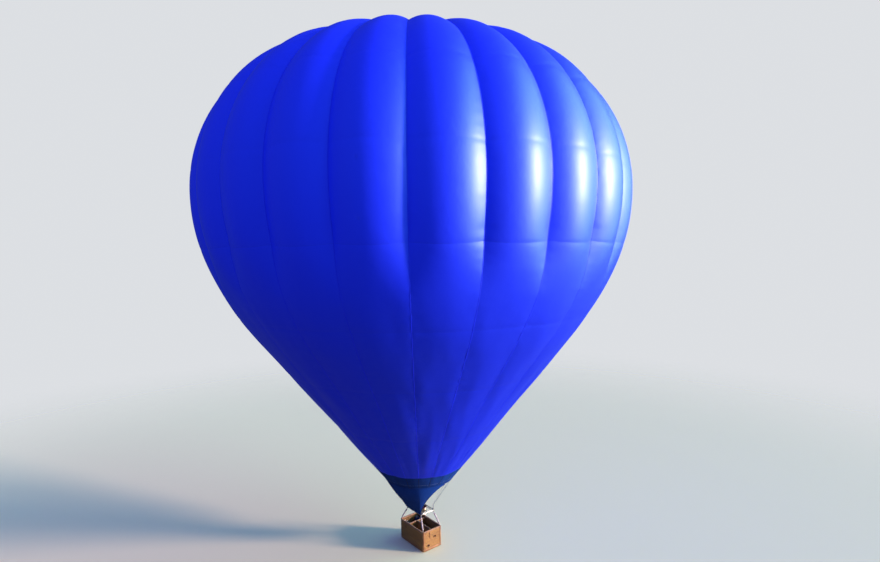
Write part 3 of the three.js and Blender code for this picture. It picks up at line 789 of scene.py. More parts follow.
# Mouth band. The lowest metre of the envelope is heat-resistant cloth, dark blue and matte. Its
# edge is turned over a cable hem, and a row of light stitches holds the scoop's fastening tape.
BAND_COLOUR = (0.006, 0.050, 0.29)
BAND_SHADE = (0.003, 0.014, 0.07)
STITCH_COLOUR = (0.30, 0.38, 0.48)
STITCH_UP = 0.30
MOUTH_RADIUS = skin(MOUTH)[0]
BAND_RADIUS = skin(BAND_TOP)[0]
BAND_RIPPLE = 0.012
MOUTH_HEM = 0.013
WEBBING_DARK = (0.004, 0.016, 0.07)
WEBBING_DARKER = (0.002, 0.008, 0.035)

band_cloth = Finish("mouth_cloth")
across, along = band_cloth.uv()
weave = across.math("MAXIMUM", *band_cloth.threads(0.0016, 0.28, 0.46))
blotch = band_cloth.noise(1.6, 4.0, 0.6)
dashes = (across / 0.012).fract().step(0.35, 0.42)
stitch_row = (1 - (along - (MOUTH + STITCH_UP)).absolute().step(0.004, 0.007)) * dashes
soot = (1 - (along - MOUTH).step(0.0, 0.35)) * blotch
cloth_tone = band_cloth.mix(blotch * 0.7 + soot * 0.4, BAND_COLOUR, BAND_SHADE)
cloth_relief = band_cloth.bump(weave + stitch_row, 0.0004, 0.5)
band_cloth.set(
    base_color=band_cloth.mix(stitch_row, cloth_tone, STITCH_COLOUR),
    roughness=0.72 + blotch * 0.12,
    normal=band_cloth.bump(band_cloth.noise(4.0, 4.0), 0.02, 0.25, cloth_relief),
    specular_ior_level=0.25,
    specular_tint=(0.3, 0.7, 1.0),
)


def band_point(angle, length):
    near_edge = smooth(BAND_TOP - length, 0.2, 1.0)
    ripple = noise_round(angle, 7.0, length * 1.4)
    ripple += 0.4 * noise_round(angle, 19.0, length * 3)
    return fabric_point(angle, length) + around(angle)[0] * BAND_RIPPLE * near_edge * ripple


band_turns = gore_turns(GORE_STEPS)
band_turns.append(band_turns[0] + TURN)
band_lengths = spread(MOUTH, BAND_TOP, 16)
band_mesh = grid_of(band_turns, band_lengths, band_point, lambda a, b: (a * skin(b)[0], b))
band_area = cloth_area(band_mesh)
bmesh.ops.remove_doubles(band_mesh, verts=band_mesh.verts, dist=1e-5)
mouth_band = piece("mouth_band", band_mesh, band_cloth, "mouth_fabric", "envelope_mouth_band")
mouth_edge = [band_point(t, MOUTH) - around(t)[0] * MOUTH_HEM * 0.6 for t in band_turns[:-1:4]]
mouth_hem = tube(mouth_edge, MOUTH_HEM, 10, closed=True)
mouth_hem = piece("mouth_hem", mouth_hem, band_cloth, "mouth_fabric")
band_flat = (TURN * BAND_RADIUS, BAND_HEIGHT)

dark_webbing = Finish("dark_webbing")
ribs, worn, webbing_colour = webbing_look(dark_webbing, WEBBING_DARK, WEBBING_DARKER)
dark_webbing.set(
    base_color=webbing_colour,
    roughness=0.68 + worn * 0.12,
    normal=dark_webbing.bump(ribs, 0.0006, 0.6),
    specular_ior_level=0.3,
)
band_tapes = []
for angle in SEAM_ANGLES:
    out, side = around(angle)
    lengths = spread(MOUTH, BAND_TOP + 0.02, 18)
    path = [band_point(angle, length) + out * TAPE_THICKNESS for length in lengths]
    band_tapes.append(ribbon(path, side, TAPE_WIDTH))
thicken(piece("band_load_tapes", merged(band_tapes), dark_webbing, "load_tape"), TAPE_THICKNESS)


# Scoop. A skirt of the same dark cloth, hung round one half of the mouth to lead the wind in. Its
# free edges are bound with tape and sweep down to the two near corners of the burner frame.
SCOOP_END = 97.5
SCOOP_CORNER = 52.5
SCOOP_BULGE = 0.09
SCOOP_CURVE = 0.9
SCOOP_TRIM = 0.96
SCOOP_OVERLAP = 0.05
SCOOP_FOLD = 0.016
SCOOP_FOOT = Vector((0.659, -0.486, -16.647))
SCOOP_OUT = 0.012
SCOOP_LAP_OUT = 0.014
SCOOP_HEM = 0.009
SCOOP_BINDING = 0.006


def scoop_point(turn, share):
    """A point of the scoop at a turn in degrees from -Y. share is 0 at the mouth and 1 at the
    free edge, and less than 0 where the cloth laps up over the mouth band."""
    out = around(math.radians(turn - 90))[0]
    if share < 0:
        r, z, _, _ = skin(MOUTH - share * SCOOP_OVERLAP)
        return out * (r + SCOOP_LAP_OUT) + UP * z
    top = out * (MOUTH_RADIUS + SCOOP_OUT) + UP * MOUTH_Z
    beyond = max(0, abs(turn) - SCOOP_CORNER)
    past = beyond / (SCOOP_END - SCOOP_CORNER)
    reach = 1 - SCOOP_TRIM * math.sin(math.pi / 2 * past) ** SCOOP_CURVE
    along = min(1, max(-1, turn / SCOOP_CORNER))
    back = min(1, beyond / (180 - 2 * SCOOP_CORNER))
    foot = Vector((along * SCOOP_FOOT.x, SCOOP_FOOT.y * (1 - 2 * back), SCOOP_FOOT.z))
    f = share * reach
    billow = SCOOP_BULGE * 4 * f * (1 - f)
    to_corner = abs(abs(turn) - SCOOP_CORNER) / SCOOP_CORNER
    folds = math.cos(turn * 0.42) * 0.6 + noise.noise(Vector((turn * 0.09, f * 1.3, 8.2))) * 1.6
    billow += SCOOP_FOLD * folds * smooth(f, 0.05, 0.5) * min(1, 0.35 + to_corner)
    return top.lerp(foot, f) + out * billow


def scoop_size(turn, share):
    return math.radians(turn) * MOUTH_RADIUS, MOUTH + 4 - share * 1.9


scoop_turns = spread(-SCOOP_END, SCOOP_END, 104)
scoop_shares = [-1, -0.5, 0] + spread(0, 1, 28)[1:]
scoop_mesh = grid_of(scoop_turns, scoop_shares, scoop_point, scoop_size)
scoop_area = cloth_area(scoop_mesh)
scoop_cloth = piece("scoop_cloth", scoop_mesh, band_cloth, "mouth_fabric", "scoop")
free_edge = [scoop_point(-SCOOP_END, share) for share in (-1, -0.5, 0, 0.5)]
free_edge += [scoop_point(turn, 1) for turn in scoop_turns]
free_edge += [scoop_point(SCOOP_END, share) for share in (0.5, 0, -0.5, -1)]
scoop_hem = piece("scoop_hem", tube(free_edge, SCOOP_HEM), dark_webbing, "load_tape")
scoop_top = tube([scoop_point(turn, -1) for turn in scoop_turns], SCOOP_BINDING, 6)
scoop_binding = piece("scoop_binding", scoop_top, band_cloth, "mouth_fabric")


# Basket wall. Willow and cane woven in one piece: canes 20 mm thick pass over and under 100
# upright stakes. Two footholes in each end are bound with hide.
WALL_HALF_X = 1.042
WALL_HALF_Y = 0.617
WALL_CORNER = 0.11
WALL = (WALL_HALF_X, WALL_HALF_Y, WALL_CORNER)
WALL_THICKNESS = 0.036
WALL_TOP = -17.5303
FLOOR_Z = -18.51
STAKES = 100
CANE_ROWS = 49
CANE_SWING = 0.005
CANE_GROOVE = 0.004
WEAVE_IN = 0.006
CANE_LIGHT = (0.50, 0.26, 0.062)
CANE_MIDDLE = (0.38, 0.185, 0.04)
CANE_DARK = (0.23, 0.105, 0.024)
PAINTED_SHADE_AND_KNOT_DARK = (0.07, 0.035, 0.015)
HOLE_WIDTH = 0.15
HOLE_HEIGHT = 0.11
HOLE_CORNER = 0.025
HOLE_BINDING = 0.011
HOLES = ((0.16, 0.62), (-0.28, 0.24))
HIDE_DARK = (0.13, 0.052, 0.018)
HIDE_MIDDLE = (0.27, 0.12, 0.042)
HIDE_LIGHT = (0.42, 0.20, 0.075)
HIDE_SCUFFED = (0.40, 0.22, 0.11)


def way_round(half_x, half_y, corner):
    """The length of a rounded rectangle's edge."""
    return 4 * (half_x + half_y) - (8 - TURN) * corner


def oblong_at(distance, half_x, half_y, corner):
    """The point and the outward direction at a distance round a rounded rectangle."""
    straights = (2 * (half_y - corner), 2 * (half_x - corner)) * 2
    starts = (
        (half_x, corner - half_y),
        (half_x - corner, half_y),
        (-half_x, half_y - corner),
        (corner - half_x, -half_y),
    )
    for side in range(4):
        turn = side * math.pi / 2
        out, ahead = around(turn)
        start = Vector((*starts[side], 0))
        if distance <= straights[side]:
            return start + ahead * distance, out
        distance -= straights[side]
        if distance <= corner * math.pi / 2 or side == 3:
            bent = around(turn + distance / corner)[0]
            return start + ahead * straights[side] + (bent - out) * corner, bent
        distance -= corner * math.pi / 2


WALL_ROUND = way_round(*WALL)
STAKE_PITCH = WALL_ROUND / STAKES
CANE_PITCH = (WALL_TOP - FLOOR_Z) / CANE_ROWS


def wall_at(distance):
    return oblong_at(distance % WALL_ROUND, *WALL)


def weave_relief_at(along, row):
    """How far a woven wall stands out at a distance along it in stakes, and a height in canes."""
    cane = math.floor(row + 1e-6)
    crest = math.sin(math.pi * (row - cane))
    over = math.cos(math.pi * (along + cane))
    return over * CANE_SWING * crest - CANE_GROOVE * (1 - crest)


def wall_point(distance, up):
    point, out = wall_at(distance)
    relief = weave_relief_at(distance / STAKE_PITCH, up / CANE_PITCH) - WEAVE_IN
    return point + out * relief + UP * (FLOOR_Z + up)


cane = Finish("willow_cane")
across, along = cane.uv()
cane_row = along / CANE_PITCH
row_number = cane_row.floor()
stake_place = across / STAKE_PITCH
half_turn = (stake_place + row_number) * math.pi
over = half_turn.math("COSINE", half_turn)
crest = (cane_row.fract() * math.pi).sine()
groove = 1 - crest.step(0.15, 0.75)
stick = cane.scatter(row_number, (stake_place / 17 + row_number * 0.37).floor(), 2.0)
stretch = cane.scatter(row_number, (stake_place / 5 + row_number * 0.61).floor(), 7.0)
weather = cane.noise(1.7, 4.0, 0.6)
grain = cane.noise(1.0, 3.0, 0.6, cane.vector(across * 9.0, along * 260.0, row_number))
tone = stick * 0.45 + stretch * 0.25 + weather * 0.25 + grain * 0.2
cane_colour = cane.ramp(tone, (0.25, CANE_DARK), (0.5, CANE_MIDDLE), (0.85, CANE_LIGHT))
knots = cane.noise(1.0, 1.0, at=cane.vector(across * 14.0, row_number * 3.1, 4.0)).step(0.70, 0.78)
# The grooves between rows of cane, and each cane where it passes behind a stake, are darkened with painted
# shade; knots are darkened too, as real marks.
painted_under_shade = (1 - over.step(-0.9, 0.2)) * 0.45
painted_shade_and_knots = (groove * 0.8 + painted_under_shade + knots * 0.35).clamped()
cane.set(
    base_color=cane.mix(painted_shade_and_knots, cane_colour, PAINTED_SHADE_AND_KNOT_DARK),
    roughness=0.5 + grain * 0.2 + groove * 0.2,
    normal=cane.bump(grain + knots * 0.5, 0.0008, 0.5),
    specular_ior_level=0.35,
    coat_weight=0.12,
    coat_roughness=0.35,
)

hide = Finish("saddle_hide")
spots = hide.noise(3.5, 5.0, 0.6)
scuffs = hide.noise(22.0, 4.0, 0.65).step(0.56, 0.72)
hide_tone = hide.ramp(spots, (0.3, HIDE_DARK), (0.5, HIDE_MIDDLE), (0.75, HIDE_LIGHT))
hide.set(
    base_color=hide.mix(scuffs * 0.45, hide_tone, HIDE_SCUFFED),
    roughness=0.48 + spots * 0.15 + scuffs * 0.2,
    normal=hide.bump(spots, 0.004, 0.4, hide.bump(hide.noise(260.0), 0.0004, 0.5)),
    specular_ior_level=0.45,
)


def in_hole(point):
    side = 1 if point.x > 0 else -1
    return abs(point.x) > WALL_HALF_X - WALL_CORNER and any(
        abs(point.y - side * y) < HOLE_WIDTH / 2 and abs(point.z - FLOOR_Z - up) < HOLE_HEIGHT / 2
        for y, up in HOLES
    )


wall_steps = spread(0, WALL_ROUND, STAKES * 4)
wall_rows = spread(0, CANE_PITCH * CANE_ROWS, CANE_ROWS * 2)
wall_mesh = grid_of(wall_steps, wall_rows, wall_point)
opened = [face for face in wall_mesh.faces if in_hole(face.calc_center_median())]
bmesh.ops.delete(wall_mesh, geom=opened, context="FACES")
woven_wall = piece("woven_wall", joined(wall_mesh, 1e-5), cane, "wicker", "basket_wall")
wall_faces = woven_wall.data.polygons
outward = sum(face.normal.dot(face.center * Vector((1, 1, 0))) > 0 for face in wall_faces)
thicken(woven_wall, WALL_THICKNESS, -1 if outward > len(wall_faces) / 2 else 1)

bindings = []
edge = (HOLE_WIDTH / 2, HOLE_HEIGHT / 2, HOLE_CORNER)
for side in (-1, 1):
    for y, up in HOLES:
        for x in (WALL_HALF_X - 0.002, WALL_HALF_X - WALL_THICKNESS - 0.008):
            path = []
            for distance in spread(0, way_round(*edge), 40)[:-1]:
                point, _ = oblong_at(distance, *edge)
                path.append(Vector((side * x, side * y + point.x, FLOOR_Z + up + point.y)))
            bindings.append(tube(path, HOLE_BINDING, closed=True))
piece("foothole_binding", merged(bindings), hide, "hide", "basket_wall")


# Hide band. A strip of saddle hide 110 mm high is sewn round the foot of the basket with two rows
# of waxed thread, and a strip covers each upright corner.
BAND_THICKNESS = 0.007
HIDE_BAND_HEIGHT = 0.11
CORNER_STRIP = 0.17
CORNER_STRIP_THICKNESS = 0.004
STITCH_SIZE = (0.006, 0.0016, 0.0016)
STITCHES_ROUND = 347
STITCH_ROWS = (0.012, 0.098)
THREAD_COLOUR = (0.55, 0.45, 0.30)
THREAD_SHADE = (0.36, 0.27, 0.16)


def swept(path_at, distances, section, size=None, fill=False):
    """A closed section of (out, up) points, swept along path_at(distance)."""
    section = section + section[:1]

    def place(distance, i):
        point, out = path_at(distance)
        shift = out * section[i][0] + UP * section[i][1]
        return point + (shift * size(distance, point, i) if size else shift)

    mesh = grid_of(distances, range(len(section)), place, lambda a, i: (a, i * 0.012))
    return joined(mesh, fill=fill)


foot_section = [(0.0005, 0.0), (BAND_THICKNESS, 0.001), (BAND_THICKNESS + 0.001, 0.05)]
foot_section += [(BAND_THICKNESS, 0.106), (BAND_THICKNESS - 0.003, HIDE_BAND_HEIGHT)]
foot_section = [(out, FLOOR_Z + up) for out, up in foot_section + [(0.0005, HIDE_BAND_HEIGHT)]]
foot_band = swept(wall_at, spread(0, WALL_ROUND, 400), foot_section)
piece("foot_band", foot_band, hide, "hide", "basket_hide_band")

corner_strips = []
for quarter in range(4):
    middle = 2 * (WALL_HALF_Y - WALL_CORNER) + WALL_CORNER * math.pi / 4
    middle += (quarter % 2) * (2 * (WALL_HALF_X - WALL_CORNER) + WALL_CORNER * math.pi / 2)
    middle += (quarter // 2) * WALL_ROUND / 2

    def strip_point(distance, up, middle=middle):
        point, out = wall_at(middle + distance)
        puff = 0.0015 * noise.noise(Vector((distance * 20, up * 6, middle)))
        return point + out * (0.002 + puff) + UP * (FLOOR_Z + up)

    distances = spread(-CORNER_STRIP / 2, CORNER_STRIP / 2, 14)
    corner_strips.append(grid_of(distances, spread(0.105, 0.98, 40), strip_point))
strips = piece("corner_strips", merged(corner_strips), hide, "hide")
thicken(strips, CORNER_STRIP_THICKNESS, 1)

one_stitch = bmesh.new()
bmesh.ops.create_icosphere(one_stitch, subdivisions=1, radius=1)
bmesh.ops.scale(one_stitch, verts=one_stitch.verts, vec=STITCH_SIZE)
stitches = []
for up in STITCH_ROWS:
    for distance in spread(0, WALL_ROUND, STITCHES_ROUND)[:-1]:
        point, out = wall_at(distance)
        ahead = sideways(out)
        at = point + out * (BAND_THICKNESS + 0.001) + UP * (FLOOR_Z + up)
        turn = Matrix((ahead, out.cross(ahead), out)).transposed().to_4x4()
        stitches.append(one_stitch.copy())
        bmesh.ops.transform(stitches[-1], matrix=Matrix.Translation(at) @ turn, verts=stitches[-1].verts)


def mottled(name, scale, detail, light, dark, relief, strength):
    """A finish of two colours with a fine relief, and its noise."""
    finish = Finish(name)
    spots = finish.noise(scale, detail)
    finish.set(base_color=finish.mix(spots, light, dark), normal=finish.bump(spots, relief, strength))
    return finish, spots


waxed_thread, _ = mottled("waxed_thread", 300.0, 2.0, THREAD_COLOUR, THREAD_SHADE, 0.0004, 0.6)
waxed_thread.set(roughness=0.6)
piece("foot_band_stitches", merged(stitches), waxed_thread, "hide")


# Rims. Foam rolls covered with the same hide run round the top of the wall and along the
# partition, each laced on with a rawhide thong every 65 mm.
RIM_MIDDLE_Z = -17.49
RIM_IN = 0.025
RIM_HALF_WIDTH = 0.044
RIM_HALF_HEIGHT = 0.039
RIM_ROUNDING = 0.72
LACE_PITCH = 0.065
LACE_STEPS = 6
LACE_SINK = 0.09
LACE_REACH = 0.22
ROLL_WRINKLE = 0.025
THONG_PLACE = 0.945
THONG_WIDTH = 0.011
THONG_THICKNESS = 0.004


def laced_roll(path_at, length, laces, section, fill=False):
    """A padded roll along path_at(distance), pinched in at each lace."""

    def pinch(distance, point, i):
        from_lace = 2 * abs((distance / length * laces) % 1 - 0.5)
        wrinkle = noise.noise(Vector((point.x * 6, point.y * 6, i * 0.4)))
        return 1 - LACE_SINK * math.exp(-((from_lace / LACE_REACH) ** 2)) - ROLL_WRINKLE * wrinkle

    return swept(path_at, spread(0, length, laces * LACE_STEPS), section, pinch, fill)


def lace_loops(path_at, length, laces, section):
    loops = []
    for k in range(laces):
        point, out = path_at(length * (k + 0.5) / laces)
        ring = [point + (out * a + UP * b) * THONG_PLACE for a, b in section]
        loops.append(ribbon(ring + ring[:1], sideways(out), THONG_WIDTH))
    return merged(loops)


def rim_at(distance):
    point, out = wall_at(distance)
    return point - out * RIM_IN + UP * RIM_MIDDLE_Z, out


rim_section = oval(RIM_HALF_WIDTH, RIM_HALF_HEIGHT, 20, RIM_ROUNDING)
rim_laces = round(WALL_ROUND / LACE_PITCH)
rim_mesh = laced_roll(rim_at, WALL_ROUND, rim_laces, rim_section)
rim_roll = piece("rim_roll", rim_mesh, hide, "hide", "basket_rim")
rim_thong = lace_loops(rim_at, WALL_ROUND, rim_laces, rim_section)
thicken(piece("rim_thong", rim_thong, waxed_thread, "hide"), THONG_THICKNESS)


# Flying wires. 24 stranded stainless ropes, one for each gore seam, six to a corner. Each is
# swaged into a ferrule, and the ferrule's thimble hangs in a screw-gate carabiner.
CORNERS = [("front_left", -1, -1), ("front_right", 1, -1), ("back_right", 1, 1), ("back_left", -1, 1)]
LUG_X = 0.618
LUG_Y = 0.418
FERRULE_Z = -16.437
THIMBLE_Z = -16.494
LINK_Z = -16.572
LINK_HALF_WIDTH = 0.029
LINK_HALF_HEIGHT = 0.059
LINK_BAR = 0.0058
THIMBLE_HALF_WIDTH = 0.020
THIMBLE_HALF_HEIGHT = 0.031
WIRE_RADIUS = 0.003
WIRE_FAN = 0.010
SLEEVE_PLACES = (0.09, 0.085, 0.02, 0.012)
SLEEVE_RADII = [0.0045, 0.0062, 0.0062, 0.0045]
GATE_PLACES = (-0.034, -0.030, 0.012, 0.016)
GATE_RADII = [0.0075, 0.0092, 0.0092, 0.0075]
FERRULE = [
    (0, -0.030), (0.022, -0.030), (0.025, -0.026), (0.0245, -0.008), (0.021, -0.006), (0.021, 0.0),
    (0.0235, 0.002), (0.022, 0.014), (0.019, 0.016), (0.018, 0.028), (0.014, 0.030), (0, 0.030),
]
HINGE_PIN = [(0, -0.008), (0.0035, -0.008), (0.0035, 0.008), (0, 0.008)]
STEEL_COLOUR = (0.50, 0.50, 0.48)
STRAND_PAINTED_SHADE = (0.12, 0.12, 0.12)


def moved(mesh, at, head=None):
    """Turns a mesh's +Z to head and moves it."""
    turn = Matrix.Identity(4)
    if head is not None:
        turn = head.to_track_quat("Z", "Y").to_matrix().to_4x4()
    bmesh.ops.transform(mesh, matrix=Matrix.Translation(at) @ turn, verts=mesh.verts)
    return mesh


def brushed_steel(name, colour, roughness, tint=None):
    steel = Finish(name)
    fine = steel.noise(420.0, 2.0, 0.6)
    broad = steel.noise(9.0, 4.0, 0.6)
    marks = steel.noise(60.0, 3.0, 0.7).step(0.58, 0.72)
    dull = tuple(part * 0.55 for part in colour)
    shade = steel.mix(broad * 0.5 + marks * 0.3, colour, dull)
    steel.set(
        base_color=tint(steel, shade) if tint else shade,
        metallic=1.0,
        roughness=roughness + fine * 0.12 + broad * 0.12,
        normal=steel.bump(fine + marks * 0.4, 0.0003, 0.35),
    )
    return steel


wire_rope = Finish("stranded_wire")
turn_share, along = wire_rope.uv()
strand = ((turn_share * 6 + along / 0.045).fract() * math.pi).sine()
# The valleys between strands are painted dark: painted shade.
wire_rope.set(
    base_color=wire_rope.mix(strand, STRAND_PAINTED_SHADE, STEEL_COLOUR),
    metallic=1.0,
    roughness=0.32 + wire_rope.noise(5.0, 3.0) * 0.2,
    normal=wire_rope.bump(strand, 0.0008, 0.8),
)
rigging_steel = brushed_steel("rigging_steel", (0.56, 0.56, 0.54), 0.26)

for corner, sx, sy in CORNERS:
    lug = Vector((sx * LUG_X, sy * LUG_Y, 0))
    out = lug.normalized()
    side = sideways(out)
    wires, fittings = [], []
    start = lug + UP * (FERRULE_Z + 0.022)
    seams = [angle for angle in SEAM_ANGLES if math.cos(angle) * sx > 0 and math.sin(angle) * sy > 0]
    for fan, angle in zip(full_turn(len(seams)), seams):
        foot = start + around(fan)[0] * WIRE_FAN
        end = around(angle)[0] * (MOUTH_RADIUS - 0.008) + UP * (MOUTH_Z - 0.006)
        path = [foot, foot + (end - start) * 0.02] + [start.lerp(end, t) for t in spread(0.15, 1, 10)]
        wires.append(tube(path, WIRE_RADIUS))
        head = (end - start).normalized()
        fittings.append(tube([end - head * place for place in SLEEVE_PLACES], SLEEVE_RADII, 10))
    fittings.append(moved(turned(FERRULE), lug + UP * FERRULE_Z))
    thimble = oval(THIMBLE_HALF_WIDTH, THIMBLE_HALF_HEIGHT, 36, 0.8)
    thimble = [lug + out * x + UP * (z + THIMBLE_Z) for x, z in thimble]
    fittings.append(tube(thimble, LINK_BAR, 10, closed=True))
    link = oval(LINK_HALF_WIDTH, LINK_HALF_HEIGHT, 48, 0.7)
    link = [lug + side * x + UP * (z + LINK_Z) for x, z in link]
    gate = lug + side * LINK_HALF_WIDTH + UP * LINK_Z
    carabiner = [tube(link, LINK_BAR, 12, closed=True)]
    carabiner.append(tube([gate + UP * z for z in GATE_PLACES], GATE_RADII, 18))
    carabiner.append(moved(turned(HINGE_PIN, 12), gate - UP * 0.043, out))
    ropes = f"flying_wires_{corner}"
    piece(f"wires_{corner}", merged(wires), wire_rope, "wire_rope", ropes)
    piece(f"wire_fittings_{corner}", merged(fittings), rigging_steel, "wire_rope", ropes)
    carabiner = merged(carabiner)
    piece(f"carabiner_steel_{corner}", carabiner, rigging_steel, "burner_steel", f"carabiner_{corner}")


# Burner frame. A ring of stainless tube carries the burners. It has a lug for a carabiner and a
# socket for an upright at each corner, and the gimbal ring swings between its two end bushes.
FRAME_Z = -16.7
FRAME_TUBE = 0.023
FRAME_RING = (0.65, 0.45, 0.11)
GIMBAL_TUBE = 0.015
GIMBAL_RING = (0.55, 0.35, 0.07)
LUG_PLATE_Z = -16.637
LUG_HALF_WIDTH = 0.03
LUG_DROP = 0.05
LUG_EYE = 0.0145
LUG_THICKNESS = 0.010
SOCKET_Z = -16.741
WELD_RADIUS = 0.0285
WELD_BEAD = 0.0028
SOCKET = [
    (0, -0.030), (0.020, -0.030), (0.026, -0.028), (0.028, -0.024), (0.028, 0.026), (0.025, 0.030),
    (0, 0.030),
]
PIN_COLLAR = [(0.0098, 0.0), (0.0165, 0.0), (0.0165, 0.008), (0.0098, 0.010)]
FRAME_COLOUR = (0.62, 0.60, 0.50)
HEATED_COLOUR = (0.60, 0.59, 0.55)
STRAW_COLOUR = (0.58, 0.44, 0.20)
SCORCHED_COLOUR = (0.28, 0.20, 0.30)


def straw_tint(steel, shade):
    """Heat colours, stronger towards the mouths of the cans."""
    _, _, up = steel.axes(steel.place())
    heat = (up + 16.85).step(0.0, 0.36) * steel.noise(7.0, 4.0, 0.6).step(0.3, 0.65)
    straw = steel.mix(heat.step(0.05, 0.55), shade, STRAW_COLOUR)
    return steel.mix(heat.step(0.6, 0.95), straw, SCORCHED_COLOUR)


frame_steel = brushed_steel("frame_steel", FRAME_COLOUR, 0.3)
heated_steel = brushed_steel("heated_steel", HEATED_COLOUR, 0.28, straw_tint)


def tube_ring(ring, radius, steps, sides):
    """A rounded rectangle of bent tube, level at the frame's height."""
    distances = spread(0, way_round(*ring), steps)[:-1]
    return tube([oblong_at(d, *ring)[0] + UP * FRAME_Z for d in distances], radius, sides, closed=True)


def lug_plate(at, turn):
    """An eye plate: a rectangle with a round top and a hole, standing on the tube."""
    mesh = bmesh.new()
    rim, hole = [], []
    for angle in full_turn(36):
        c, s = math.cos(angle), math.sin(angle)
        reach = LUG_HALF_WIDTH
        if s < 0:
            reach = min(LUG_HALF_WIDTH / max(abs(c), 1e-6), LUG_DROP / max(-s, 1e-6))
        rim.append(mesh.verts.new((reach * c, -LUG_THICKNESS / 2, reach * s)))
        hole.append(mesh.verts.new((LUG_EYE * c, -LUG_THICKNESS / 2, LUG_EYE * s)))
    for a, b, c, d in zip(rim, rim[1:] + rim[:1], hole[1:] + hole[:1], hole):
        mesh.faces.new((a, b, c, d))
    grown = bmesh.ops.extrude_face_region(mesh, geom=mesh.faces[:])["geom"]
    grown = [vert for vert in grown if isinstance(vert, bmesh.types.BMVert)]
    bmesh.ops.translate(mesh, vec=(0, LUG_THICKNESS, 0), verts=grown)
    bmesh.ops.recalc_face_normals(mesh, faces=mesh.faces)
    turned_plate = Matrix.Translation(at) @ Matrix.Rotation(turn, 4, "Z")
    bmesh.ops.transform(mesh, matrix=turned_plate, verts=mesh.verts)
    return mesh


def weld(at):
    """A ring of weld bead lying flat."""
    path = [at + around(t)[0] * (WELD_RADIUS + 0.001 * math.sin(9 * t)) for t in full_turn(30)]
    return tube(path, WELD_BEAD, 6, closed=True)


def bush(length):
    """A bearing bush that ends at half its length to both sides."""
    end, lip = length / 2, length / 2 - 0.002
    return turned([(0.0105, -end), (0.019, -end), (0.020, -lip), (0.020, end), (0.0105, end), (0.0105, -end)])


def pin(length, chamfer):
    end = [(0.0098, length - chamfer), (0.0085, length), (0, length)]
    return turned([(0, 0.0), (0.0098, 0.0)] + end, 20)


frame_parts = [tube_ring(FRAME_RING, FRAME_TUBE, 160, 20)]
gimbal_parts = [tube_ring(GIMBAL_RING, GIMBAL_TUBE, 140, 16)]
for corner, sx, sy in CORNERS:
    lug = Vector((sx * LUG_X, sy * LUG_Y, 0))
    frame_parts.append(lug_plate(lug + UP * LUG_PLATE_Z, math.atan2(lug.y, lug.x)))
    frame_parts.append(moved(turned(SOCKET), lug + UP * SOCKET_Z))
    frame_parts.append(weld(lug + UP * (FRAME_Z - FRAME_TUBE * 0.72)))
for side in (-1, 1):
    x_axis, y_axis = Vector((side, 0, 0)), Vector((0, side, 0))
    middle = UP * FRAME_Z
    frame_parts.append(moved(bush(0.034), middle + x_axis * 0.613, x_axis))
    gimbal_parts.append(moved(pin(0.0505, 0.0025), middle + x_axis * 0.563, x_axis))
    gimbal_parts.append(moved(turned(PIN_COLLAR, 24), middle + x_axis * 0.562, x_axis))
    gimbal_parts.append(moved(bush(0.028), middle + y_axis * 0.322, y_axis))
piece("load_frame_tube", merged(frame_parts), frame_steel, "burner_steel", "burner_load_frame")
gimbal_tube = merged(gimbal_parts)
piece("gimbal_tube", gimbal_tube, frame_steel, "burner_steel", "gimbal_ring", body="gimbal")


# Burners. Two stainless cans stand on a cradle plate, each round a coil that boils the gas and a
# manifold of jets. Brass blast valves hang under the plate.
PLATE_TOP = -16.9
CAN_SPREAD = 0.25
CAN_RADIUS = 0.178
CAN_SHEET = 0.0022
CAN_VENTS = 24
VENT_HEIGHTS = (0.03, 0.055)
CAN_LEVELS = [
    (0.001, 0), (0.012, 0), (0.03, 0), (0.055, 0), (0.075, 0), (0.1, 0), (0.104, 0.002), (0.112, 0.004),
    (0.12, 0.002), (0.124, 0), (0.2, 0), (0.28, 0), (0.284, 0.002), (0.292, 0.004), (0.3, 0.002), (0.304, 0),
    (0.36, 0), (0.372, 0.001), (0.376, 0.005), (0.381, 0.009), (0.388, 0.0115), (0.394, 0.010),
    (0.397, 0.006), (0.394, 0.003),
]
COIL_RADIUS = 0.115
COIL_INNER = 0.028
COIL_TURNS = 3
COIL_TUBE = 0.0078
COIL_FOOT = 0.06
COIL_TOP = 0.30
COIL_END = 0.10
FEED = ((0.04, 0.03), (0.07, 0.031), (0.095, 0.04), (0.112, 0.056))
MANIFOLD = [
    (0, 0.001), (0.049, 0.001), (0.050, 0.004), (0.050, 0.036), (0.046, 0.042), (0.032, 0.082),
    (0.029, 0.089), (0, 0.090),
]
JETS = 12
JET = [(0, 0), (0.0055, 0), (0.0055, 0.010), (0.003, 0.018), (0, 0.018)]
NUT = [
    (0, 0), (0.017, 0), (0.017, 0.014), (0.015, 0.016), (0.011, 0.016), (0.011, 0.028), (0.009, 0.030),
    (0, 0.030),
]
CAP = [(0, 0), (0.024, 0), (0.024, 0.008), (0.021, 0.012), (0.012, 0.013), (0.012, 0.019), (0, 0.019)]
CRADLE_BLOCKS = (
    ((0, 0, FRAME_Z), (0.056, 0.604, 0.042), 0.006),
    ((0, 0, (FRAME_Z + PLATE_TOP) / 2 - 0.008), (0.048, 0.058, 0.214), 0.005),
    ((0, 0, PLATE_TOP - 0.008), (0.858, 0.108, 0.0155), 0.004),
)
PLATE_UNDER = PLATE_TOP - 0.0163
BRASS_COLOUR = (0.72, 0.52, 0.24)
BRASS_TARNISH = (0.34, 0.22, 0.09)
GRIP_COLOUR = (0.30, 0.012, 0.010)
GRIP_SHADE = (0.14, 0.008, 0.007)


